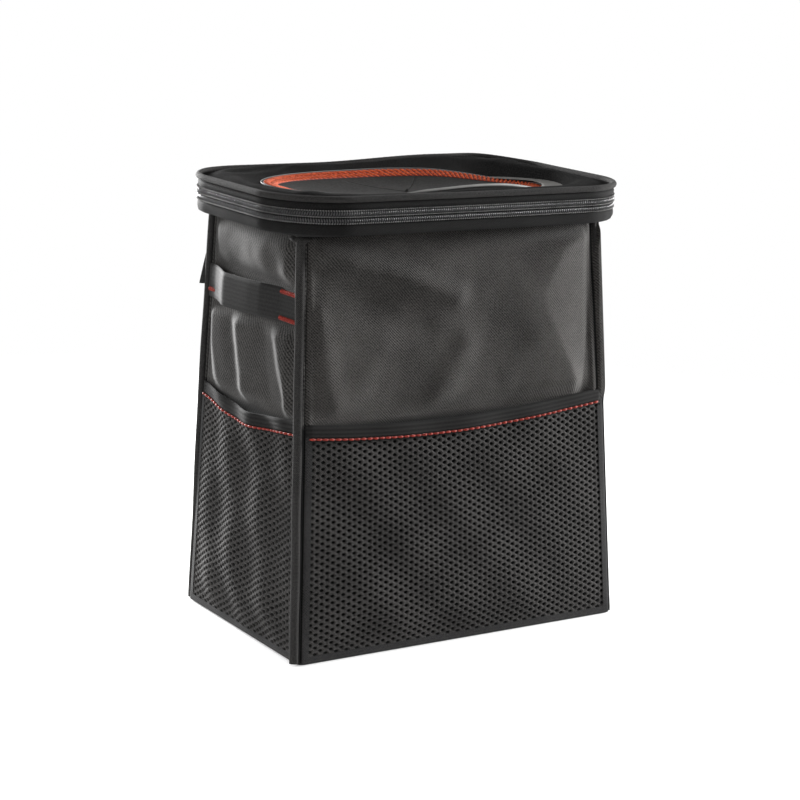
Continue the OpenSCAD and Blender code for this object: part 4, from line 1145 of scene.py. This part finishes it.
# %% Rim funnel
# share of the way from neck to rim, then the offset from the rim's line and the height in mm
FUNNEL = np.array([
    (0, 0, 249.7), (0.35, 0, 250.5), (0.75, -0.5, 251.3), (1, -1.6, 252.1), (1, -0.4, 252.8),
    (1, 0.15, 254.2), (1, 0.3, 256.0), (1, 0.05, 257.8), (1, -0.7, 258.6)])


def funnel(n=360, rows=30, over=0.4 * MM):
    """over is how far the funnel's lower edge stands outside the walls."""
    top, s = outline(0.0, n)
    low = np.stack([np.clip(top[:, 0], -NECK_HW - over, NECK_HW + over),
                    np.clip(top[:, 1], -NECK_F - over, NECK_B + over)], -1)
    out = top - np.array([0, RIM_MID])
    out /= np.linalg.norm(out, axis=1, keepdims=True)
    corner = np.clip((np.abs(top[:, 0]) - 0.085) / 0.03, 0, 1)
    corner = corner * np.clip((np.abs(top[:, 1] - RIM_MID) - 0.035) / 0.02, 0, 1)
    pucker = np.sin(s / (1.9 * MM)) * corner + 0.25 * np.sin(s / (7 * MM))
    k = np.linspace(0, 1, rows)
    share, off, z = (np.interp(k, np.linspace(0, 1, len(FUNNEL)), FUNNEL[:, i]) for i in range(3))
    pts, uvs = [], []
    for j in range(rows):
        p = low + (top - low) * share[j] + out * off[j] * MM
        p = p + out * (0.35 * MM * pucker * np.sin(np.pi * k[j]))[:, None]
        pts.append(np.concatenate([p, np.full((n, 1), z[j] * MM)], 1))
        uvs.append(np.stack([s, np.full(n, k[j] * 0.026)], -1))
    return thicken(grid("rim_skirt", np.array(pts), np.array(uvs), close_u=True), 0.9 * MM)


skirt = dress(funnel(), "bin", "oxford_cloth", SKIRT, "rim_band")
print("funnel:", len(skirt.data.polygons), "faces")

# %% [markdown]
# A nylon zipper is two coils sewn on woven tapes. From a step away it reads as two rows of
# bright slanted strokes with a dark line between them, because each turn of a coil shows as one
# short stroke. The strokes are made one by one along the tape's edge: a swept helix would give
# the same picture with far more faces. The tapes bend with the rim, and the upper one and its
# coil belong to the lid.

# %% Zipper tapes
def tape(name, z0, z1):
    rows = [(-0.5 * MM, z0 + (z1 - z0) * t) for t in np.linspace(0, 1, 6)]
    return thicken(hoop(name, rows), 0.75 * MM)


TAPES = {"lower": ("bin", -4.6 * MM, -0.3 * MM), "upper": ("lid", 0.3 * MM, 4.5 * MM)}
for tag, (body, low, high) in TAPES.items():
    dress(tape(tag + "_tape", ZIP_Z + low, ZIP_Z + high), body, "zipper_tape", TAPE,
          tag + "_zipper_tape")
    print(tag, "tape from", round(ZIP_Z + low, 4), "to", round(ZIP_Z + high, 4))

# %% Coils
ZIP_PITCH = 1.5 * MM


def zip_run():
    """Points from the left rear corner round the front to the right side, with their normals."""
    q, s = outline(-0.45 * MM, 1600)
    straight_x, straight_y = RIM_HW - RIM_R, RIM_B - RIM_R  # where the rear corners begin
    ang = np.degrees(np.arctan2(q[:, 1] - straight_y, q[:, 0] + straight_x))
    right_end = (q[:, 1] > straight_y - 9 * MM) & (q[:, 0] > 0)
    hinge_side = (q[:, 1] > straight_y) & (q[:, 0] > -straight_x)
    left_end = (q[:, 0] < -straight_x) & (q[:, 1] > straight_y) & (ang < 125)
    idx = np.where(~(right_end | hinge_side | left_end))[0]
    gap = np.where(np.diff(idx) > 1)[0]
    if len(gap):
        idx = np.concatenate([idx[gap[0] + 1:], idx[:gap[0] + 1]])
    q = q[idx]
    d = np.concatenate([[0], np.cumsum(np.linalg.norm(np.diff(q, axis=0), axis=1))])
    t = np.arange(0, d[-1], ZIP_PITCH)
    p = np.stack([np.interp(t, d, q[:, 0]), np.interp(t, d, q[:, 1])], -1)
    tan = np.gradient(p, axis=0)
    tan /= np.linalg.norm(tan, axis=1, keepdims=True)
    out = np.stack([tan[:, 1], -tan[:, 0]], -1)
    if (out * (p - np.array([0, RIM_MID]))).sum() < 0:
        out = -out
    return p, tan, out


def on_zip(shift, out, z):
    """One point for each turn: moved along the zipper, off it and up from its middle."""
    p, tan, normal = zip_run()
    p = p + tan * shift + normal * out
    return np.concatenate([p, np.full((len(p), 1), ZIP_Z + z)], 1)


normal_3d = np.pad(zip_run()[2], ((0, 0), (0, 1)))
for tag, side, body in (("lower", -1, "bin"), ("upper", 1, "lid")):
    half = ZIP_PITCH / 2 if side > 0 else 0.0
    turns = stitches(tag + "_coil", on_zip(half, 0.35 * MM, side * 0.55 * MM),
                     on_zip(half + 0.9 * MM, 0.1 * MM, side * 3.5 * MM), 0.48 * MM, normal_3d)
    dress(turns, body, "zipper_teeth", COIL, tag + "_zipper_teeth")
    # painted highlight: the rows of coil heads are painted pale for the glints on the coil's bends
    rows = (0.3 * MM, -3.5 * MM) if side < 0 else (3.9 * MM,)
    for number, z in enumerate(rows):
        low, high = z - 0.25 * MM, z + 0.25 * MM
        heads = stitches(f"{tag}_coil_highlight_row_{number}", on_zip(half - 0.1 * MM, 0.55 * MM, low),
                         on_zip(half + 0.5 * MM, 0.55 * MM, high), 0.42 * MM, normal_3d)
        dress(heads, body, "zipper_teeth", COIL_HIGHLIGHT)
    print(tag, "coil:", len(turns.data.polygons), "faces")

# %% [markdown]
# Above the zipper comes a narrow band and a fat roll of piping that hides the seam of the top.
# At the back there is no zipper: a strip of cloth is the hinge. It is sewn to both tapes and
# bends when the lid opens. The piping rises with the lid's back edge and the band doesn't,
# which leaves a slit between them there.

# %% Lid band and piping
lid_band = hoop("lid_band_cloth", [(-1.3 * MM, 267.3 * MM), (-0.35 * MM, 267.6 * MM),
                                   (0.15 * MM, 268.5 * MM), (0.2 * MM, 269.7 * MM),
                                   (-0.15 * MM, 270.6 * MM), (-1.2 * MM, 271.2 * MM)])
dress(thicken(lid_band, 0.9 * MM), "lid", "oxford_cloth", SKIRT, "lid_band")
ring, _ = outline(-0.3 * MM, 420)
ring[:, 1] -= 0.9 * MM * step_up((ring[:, 1] - 0.072) / 0.006)
lid_line = warp(np.concatenate([ring, np.full((420, 1), 273.3 * MM)], 1))
lid_piping = tube("lid_seam", lid_line, 1.9 * MM, 14, closed=True, squeeze=0.04)
dress(lid_piping, "lid", "piping_cloth", PIPING, "lid_piping")
print("lid piping:", len(lid_piping.data.polygons), "faces")


def hinge_cloth(nx=70, nz=14):
    lo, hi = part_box("lid_hinge_strip")
    x = np.linspace(hi.x, lo.x, nx)[None, :]
    z = np.linspace(lo.z, hi.z, nz)
    ripple = 0.12 * MM * np.sin(x / (5 * MM))
    front = [np.stack(np.broadcast_arrays(x, hi.y + ripple, np.full_like(x, h)), -1)[0] for h in z]
    back = [p - np.array([0, hi.y - lo.y, 0]) for p in front[::-1]]
    pts = np.array(front + back)
    uv = np.stack(np.broadcast_arrays(x, np.concatenate([z, z[::-1] + 0.02])[:, None]), -1)
    return grid("hinge_cloth", pts, uv, close_v=True)


hinge = hinge_cloth()
hinge.data.materials.append(OXFORD_SHADED)
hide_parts("lid_hinge_strip")
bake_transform(hinge)
print("hinge cloth:", len(hinge.data.polygons), "faces, from the bin to the lid")

# %% [markdown]
# The lid's top is padded cloth round an oval opening, and the opening is closed by a sheet of
# soft rubber with two crossing cuts. Both are soft, so neither is flat: the opening lies lower
# at the front than at the back, and the sheet hangs like a shallow bowl from its sewn edge.
# One height function describes that bowl, and the cloth, the foam, the sheet and its threads
# all take their heights from it, so they stay together.

# %% The opening
OVAL_A, OVAL_B, OVAL_X, OVAL_Y, HEM = 99 * MM, 48 * MM, -5 * MM, 4 * MM, 11 * MM
EDGE_Z = 272.2 * MM
BOWL = 6.5 * MM  # how deep the sheet sags in its middle
RIGHT_DIP, LIP, LEFT_DIP = 4.4 * MM, 3.9 * MM, 1.5 * MM


def squareness(across, along):
    """2 is a plain ellipse: the opening is squarer at its front and leaner at its right rear."""
    return np.where(along < 0, 2.35, np.where(across > 0, 1.5, 2.0))


def oval(angle, grow):
    """The opening's outline, a little squarer at its front, grown outwards by grow."""
    c, s = np.cos(angle), np.sin(angle)
    n = squareness(c, s)
    size = (np.abs(c) ** n + np.abs(s) ** n) ** (-1 / n)
    return np.stack([OVAL_X + (OVAL_A + grow) * c * size, OVAL_Y + (OVAL_B + grow) * s * size], -1)


def sheet_height(x, y):
    across, along = (x - OVAL_X) / OVAL_A, (y - OVAL_Y) / OVAL_B
    n = squareness(across, along)
    r = np.clip((np.abs(across) ** n + np.abs(along) ** n) ** (1 / n), 0, 1)
    edge = EDGE_Z - 0.010 * x + 0.020 * (y - OVAL_Y) - RIGHT_DIP * step_up((x - 0.03) / 0.07)
    # the sheet stands up in a lip at the front and dips to the left of it
    lip = LIP * np.exp(-(((x - 0.020) / 0.046) ** 2)) - LEFT_DIP * step_up((-x - 0.02) / 0.03)
    lip = lip * step_up((-y - 0.016) / 0.024)
    return edge + lip * r**3 - BOWL * (1 - r**3)


def rim_on_ray(angle, off):
    """Where rays from the oval's middle, aimed as the oval's own points, meet the outline."""
    q, _ = outline(off, 2400)
    p = oval(angle, 0)

    def aim_at(p):
        return np.arctan2((p[:, 1] - OVAL_Y) / OVAL_B, (p[:, 0] - OVAL_X) / OVAL_A)
    aim = aim_at(q)
    order = np.argsort(aim)
    aim, q = aim[order], q[order]
    aim = np.concatenate([aim - 2 * np.pi, aim, aim + 2 * np.pi])
    q = np.concatenate([q, q, q])
    a = aim_at(p)
    return np.stack([np.interp(a, aim, q[:, 0]), np.interp(a, aim, q[:, 1])], -1)


print("opening", 2 * OVAL_A, "x", 2 * OVAL_B, "m, its middle", BOWL, "m below its edge")


# %% Lid top
LID_RIDGES = [  # size in mm, one end, the other end, half width
    (0.9, (0.112, 0.060), (0.088, 0.044), 0.006),
    (0.8, (-0.112, -0.048), (-0.092, -0.036), 0.006),
    (-0.9, (0.108, 0.058), (0.070, 0.064), 0.004),
    (-0.8, (-0.100, 0.050), (-0.060, 0.066), 0.005)]


def lid_surface(n, rows):
    """Rows from the piping over the padded crest, down to the opening and in under its hem."""
    angle = np.linspace(0, 2 * np.pi, n, endpoint=False)
    rim, edge = rim_on_ray(angle, -2.0 * MM), oval(angle, 1.2 * MM)
    inner = oval(angle, -HEM)
    low = sheet_height(*edge.T) - 0.9 * MM
    back = np.clip((edge[:, 1] - OVAL_Y) / OVAL_B, 0, 1)
    crest = (274.5 + 0.9 * back) * MM
    pts = []
    for s in np.linspace(0, 1, rows):
        p = rim + (edge - rim) * s
        rise = 272.5 * MM + (crest - 272.5 * MM) * step_up((s - 0.02) / 0.26)
        z = rise + (low - rise) * step_up((s - 0.42) / 0.58)
        pts.append(np.concatenate([p, z[:, None]], 1))
    for s in np.linspace(0.15, 1, 6):
        p = edge + (inner - edge) * s
        pts.append(np.concatenate([p, sheet_height(*p.T)[:, None] - 2.0 * MM], 1))
    pts = np.array(pts)
    x, y = pts[..., 0], pts[..., 1]
    inside = np.concatenate([step_up(np.linspace(0, 1, rows) / 0.2), np.zeros(6)])[:, None]
    bumps = 0.45 * rumple(x, y, 0.045, 4.4) + 0.22 * rumple(x, y, 0.016, 9.1)
    bumps += ridges(x, y, LID_RIDGES)
    pts[..., 2] += bumps * MM * inside
    return pts


lid_pts = lid_surface(320, 44)
lid_top = thicken(grid("lid_padded_top", warp(lid_pts), lid_pts[..., :2], close_u=True), 0.9 * MM)
dress(lid_top, "lid", "oxford_cloth", OXFORD_SHADED, "lid_top")
print("lid crest", round(float(lid_pts[..., 2].max()) * 1000, 1), "mm above the floor")

# %% [markdown]
# Inside the lid lies a ring of foam, and under it a film lining. Neither shows while the lid is
# shut, but both do when it is opened. The foam follows the top's own surface a little below it,
# down to a flat floor, and the lining closes the ring from below. At the opening's right end
# the top dips lower than that floor, so the foam stands through it: a fault that is left.

# %% Foam and lining of the lid
FOAM_FLOOR = 268.85 * MM


def foam_ring(n=160, rows=18):
    top = warp(lid_surface(n, rows))[1:-3]
    top[..., 2] = np.maximum(top[..., 2] - 1.3 * MM, FOAM_FLOOR + 0.1 * MM)
    bottom = top[::-1].copy()
    bottom[..., 2] = FOAM_FLOOR
    pts = np.concatenate([top, bottom])
    return grid("lid_foam_ring", pts, pts[..., :2], close_u=True, close_v=True)


foam = dress(foam_ring(), "lid", "foam", FOAM, "lid_foam")


def lining_ring(n=200, rows=14):
    angle = np.linspace(0, 2 * np.pi, n, endpoint=False)
    rim, inner = rim_on_ray(angle, -3.2 * MM), oval(angle, -HEM + 0.5 * MM)
    pts = []
    for s in np.linspace(0, 1, rows):
        p = rim + (inner - rim) * s
        z = np.minimum(268.5 * MM, sheet_height(*p.T) - 3.2 * MM)
        pts.append(np.concatenate([p, z[:, None]], 1))
    pts = np.array(pts)
    return thicken(grid("lid_lining_film", pts, pts[..., :2], close_u=True), 0.5 * MM)


lining = dress(lining_ring(), "lid", "liner_film", FILM, "lid_lining")
print("foam:", len(foam.data.polygons), "faces, lining:", len(lining.data.polygons), "faces")

# %% [markdown]
# The rubber sheet is made in four quarters between the arms of the cross. Near a cut each
# quarter's border keeps half a cut's width away from it, and past the end of the cut the
# borders meet and are welded. That gives clean straight cuts whose sides are real faces.

# %% Rubber sheet
CUT_LEN, CUT_HALF, CUT_ANGLE = 42 * MM, 0.14 * MM, math.radians(51)


def quarter(a, b, droop, n=90, rows=46):
    """The part of the sheet between the directions a and b, as a grid."""
    def param(angle):
        """The oval's own angle for a direction in plan."""
        t = math.atan2(math.sin(angle) / OVAL_B, math.cos(angle) / OVAL_A)
        return t + 2 * math.pi * round((angle - t) / (2 * math.pi))
    t = np.linspace(param(a), param(b), n)[None, :]
    s = np.linspace(0, 1, rows)[:, None] ** 0.9
    rim = oval(t[0], 0.0) - np.array([OVAL_X, OVAL_Y])
    xy = s[..., None] * rim[None]
    far = np.linalg.norm(xy, axis=-1)
    open_ = step_up((CUT_LEN - far) / (3 * MM))
    q = (t - t[0, 0]) / (t[0, -1] - t[0, 0])
    na = np.array([-math.sin(a), math.cos(a)])
    nb = np.array([math.sin(b), -math.cos(b)])
    side = (1 - q)[..., None] * na + q[..., None] * nb
    xy = xy + side * (open_ * CUT_HALF)[..., None] + np.array([OVAL_X, OVAL_Y])
    z = sheet_height(xy[..., 0], xy[..., 1]) - droop * np.clip(1 - far / CUT_LEN, 0, 1)
    return np.concatenate([xy, z[..., None]], -1)


arms = [CUT_ANGLE, math.pi - CUT_ANGLE, math.pi + CUT_ANGLE, 2 * math.pi - CUT_ANGLE,
        2 * math.pi + CUT_ANGLE]
DROOP = (0.0, 0.25 * MM, 0.1 * MM, 0.2 * MM)  # how far each flap's tip hangs below the bowl
parts = []
for a, b, droop in zip(arms, arms[1:], DROOP):
    p = warp(quarter(a, b, droop))
    parts.append(grid("rubber_flaps", p[:, ::-1], p[:, ::-1, :2]))
flaps = join(parts)
weld(flaps, 0.02 * MM)
dress(thicken(flaps, 1.5 * MM), "lid", "rubber_sheet", RUBBER, "aperture_sheet")
print("rubber:", len(flaps.data.polygons), "faces, cuts", CUT_LEN, "m long")

# %% Painted highlight on the rubber's edge
rim_line = oval(np.linspace(0, 2 * np.pi, 420, endpoint=False), 0.1 * MM)
# painted highlight: the pale tube stands for light caught on the sheet's edge, thickest at the front
# right
highlit = step_up((rim_line[:, 0] + 0.042) / 0.02) * step_up((0.012 - rim_line[:, 1]) / 0.012)
rim_line = np.concatenate([rim_line, sheet_height(*rim_line.T)[:, None] - 0.1 * MM], 1)
cut_edge = tube("rubber_edge_highlight", warp(rim_line), (0.25 + 0.6 * highlit) * MM, 8, closed=True)
dress(cut_edge, "lid", "rubber_sheet", RUBBER_EDGE_HIGHLIGHT)
print("cut edge:", len(cut_edge.data.polygons), "faces")

# %% [markdown]
# The edge is sewn down with thick orange-red thread in two rows of slanted stitches that lean
# the same way and meet like a braid. Under them lies the darker thread of the loops, which
# covers them at the front, where they are sunk so as not to stand over the lip.

# %% Braided stitches round the opening
ROWS = ((1.6 * MM, 6.2 * MM), (5.4 * MM, 10.2 * MM))


def braid(count=136, lean=1.15):
    starts, ends = [], []
    for row, (a, b) in enumerate(ROWS):
        k = 2 * np.pi * (np.arange(count) + 0.5 * row) / count
        for angle, grow, bag in ((k, -a, starts), (k - 2 * np.pi * lean / count, -b, ends)):
            p = oval(angle, grow)
            sunk = 1.0 * MM * step_up((0.002 - p[:, 1:]) / 0.022)
            bag.append(np.concatenate([p, sheet_height(*p.T)[:, None] + 0.1 * MM - sunk], 1))
    p, q = warp(np.concatenate(starts)), warp(np.concatenate(ends))
    return stitches("opening_thread", p, q, 0.74 * MM, np.tile([0.0, 0, 1], (len(p), 1)), arch=0.4)


threads = dress(braid(), "lid", "red_thread", ORANGE, "aperture_stitching")
print("braid:", len(threads.data.polygons), "faces in", len(ROWS), "rows")
angle = np.linspace(0, 2 * np.pi, 420, endpoint=False)
bed = []
for g in np.linspace(1.4, 10.4, 11) * MM:
    p = oval(angle, -g)
    bed.append(np.concatenate([p, sheet_height(*p.T)[:, None] + 0.25 * MM], 1))
bed = warp(np.array(bed))
dress(thicken(grid("thread_bed", bed, bed[..., :2], close_u=True), 0.3 * MM), "lid", "red_thread",
      RED_DEEP)

# %% [markdown]
# What is left are the parts whose CAD shape is already right: boards, liner, base cloth, stops,
# buckle, slider and pull. They keep their solids and get finishes of their own, mapped by
# place, since they have no UV map.

# %% Finishes for the CAD nodes that stay
KEPT = {"base_panel": BASE_CLOTH, "liner": FILM, "zipper_slider": METAL, "zipper_pull": METAL,
        "zipper_stops": COIL}
KEPT.update({part + "_board": BOARD for part in ("base", "front", "back", "left", "right")})
KEPT.update({"buckle_" + part: BUCKLE for part in ("female", "male", "prongs")})
for name, material in KEPT.items():
    node[name].data.materials.clear()
    node[name].data.materials.append(material)
print("CAD nodes that keep their shape:", len(KEPT))

# %% [markdown]
# The photograph is a studio shot on white. A lamp low behind the left side grazes the pleats
# and draws their bright lines, a small one on the right lights the front's folds from the
# side, and two weak ones on the left and in front lift the shadows. The background is white
# for the camera and for reflections only, so it doesn't add light to the object.

# %% Floor
def make_floor():
    m, k, p = principled("pale floor", 0.9, 0.1)
    p.inputs["Base Color"].default_value = (0.82, 0.82, 0.82, 1)
    out = [n for n in m.node_tree.nodes if n.type == "OUTPUT_MATERIAL"][0]
    co = k.add("ShaderNodeTexCoord").outputs["Object"]
    dist = k.add("ShaderNodeVectorMath", {0: co}, operation="LENGTH").outputs["Value"]
    path = k.add("ShaderNodeLightPath")
    glow = k.add("ShaderNodeEmission", {"Color": (1, 1, 1, 1), "Strength": 0.35})
    bright = k.add("ShaderNodeAddShader", {0: p.outputs[0], 1: glow.outputs[0]})
    seen = k.add("ShaderNodeMixShader", {0: path.outputs["Is Camera Ray"], 1: p.outputs[0],
                                         2: bright.outputs[0]})
    clear = k.add("ShaderNodeBsdfTransparent")
    fade = k.remap(dist, 0.35, 0.8)
    end = k.add("ShaderNodeMixShader", {0: fade, 1: seen.outputs[0], 2: clear.outputs[0]})
    k.link(end.outputs[0], out.inputs[0])
    corners = [(-3, -3, 0), (3, -3, 0), (3, 3, 0), (-3, 3, 0)]
    floor = new_mesh("floor", corners, [(0, 1, 2, 3)], smooth=False)
    floor.data.materials.append(m)
    floor.location.z = -0.0002
    print("floor:", m.name)


make_floor()


# %% Surround and lamps
def make_world(level=0.24):
    w = bpy.data.worlds.new("surround")
    bpy.context.scene.world = w
    w.use_nodes = True
    w.node_tree.nodes.clear()
    k = Nodes(w.node_tree)
    path = k.add("ShaderNodeLightPath")
    mirrored = k.math("MAXIMUM", path.outputs["Is Transmission Ray"], path.outputs["Is Glossy Ray"])
    seen = k.math("MAXIMUM", path.outputs["Is Camera Ray"], mirrored)
    plain = k.add("ShaderNodeBackground", {"Color": (1, 1, 1, 1), "Strength": level})
    white = k.add("ShaderNodeBackground", {"Color": (1, 1, 1, 1), "Strength": 1.0})
    mix = k.add("ShaderNodeMixShader", {0: seen, 1: plain.outputs[0], 2: white.outputs[0]})
    out = k.add("ShaderNodeOutputWorld")
    k.link(mix.outputs[0], out.inputs[0])


def soft_light(name, place_at, size, watts, aim=(0, 0, 0.15)):
    data = bpy.data.lights.new(name, "AREA")
    data.shape = "DISK"
    data.size, data.energy = size, watts
    o = bpy.data.objects.new(name, data)
    o.location = place_at
    o.rotation_mode = "QUATERNION"
    o.rotation_quaternion = (Vector(aim) - Vector(place_at)).to_track_quat("-Z", "Y")
    bpy.context.scene.collection.objects.link(o)


make_world()
LAMPS = {"rear left": ((-0.15, 1.5, 0.37), 0.4, 92), "left": ((-1.5, -0.25, 0.7), 0.8, 8),
         "right": ((1.45, -0.27, 0.42), 0.3, 49), "front": ((-0.3, -1.8, 0.9), 0.8, 3)}
for name, (place_at, size, watts) in LAMPS.items():
    soft_light(name, place_at, size, watts)
    print("lamp", name, watts, "W")
bpy.context.scene.view_settings.view_transform = "Standard"

# %% [markdown]
# The dressed bin must stay the size of the CAD model.
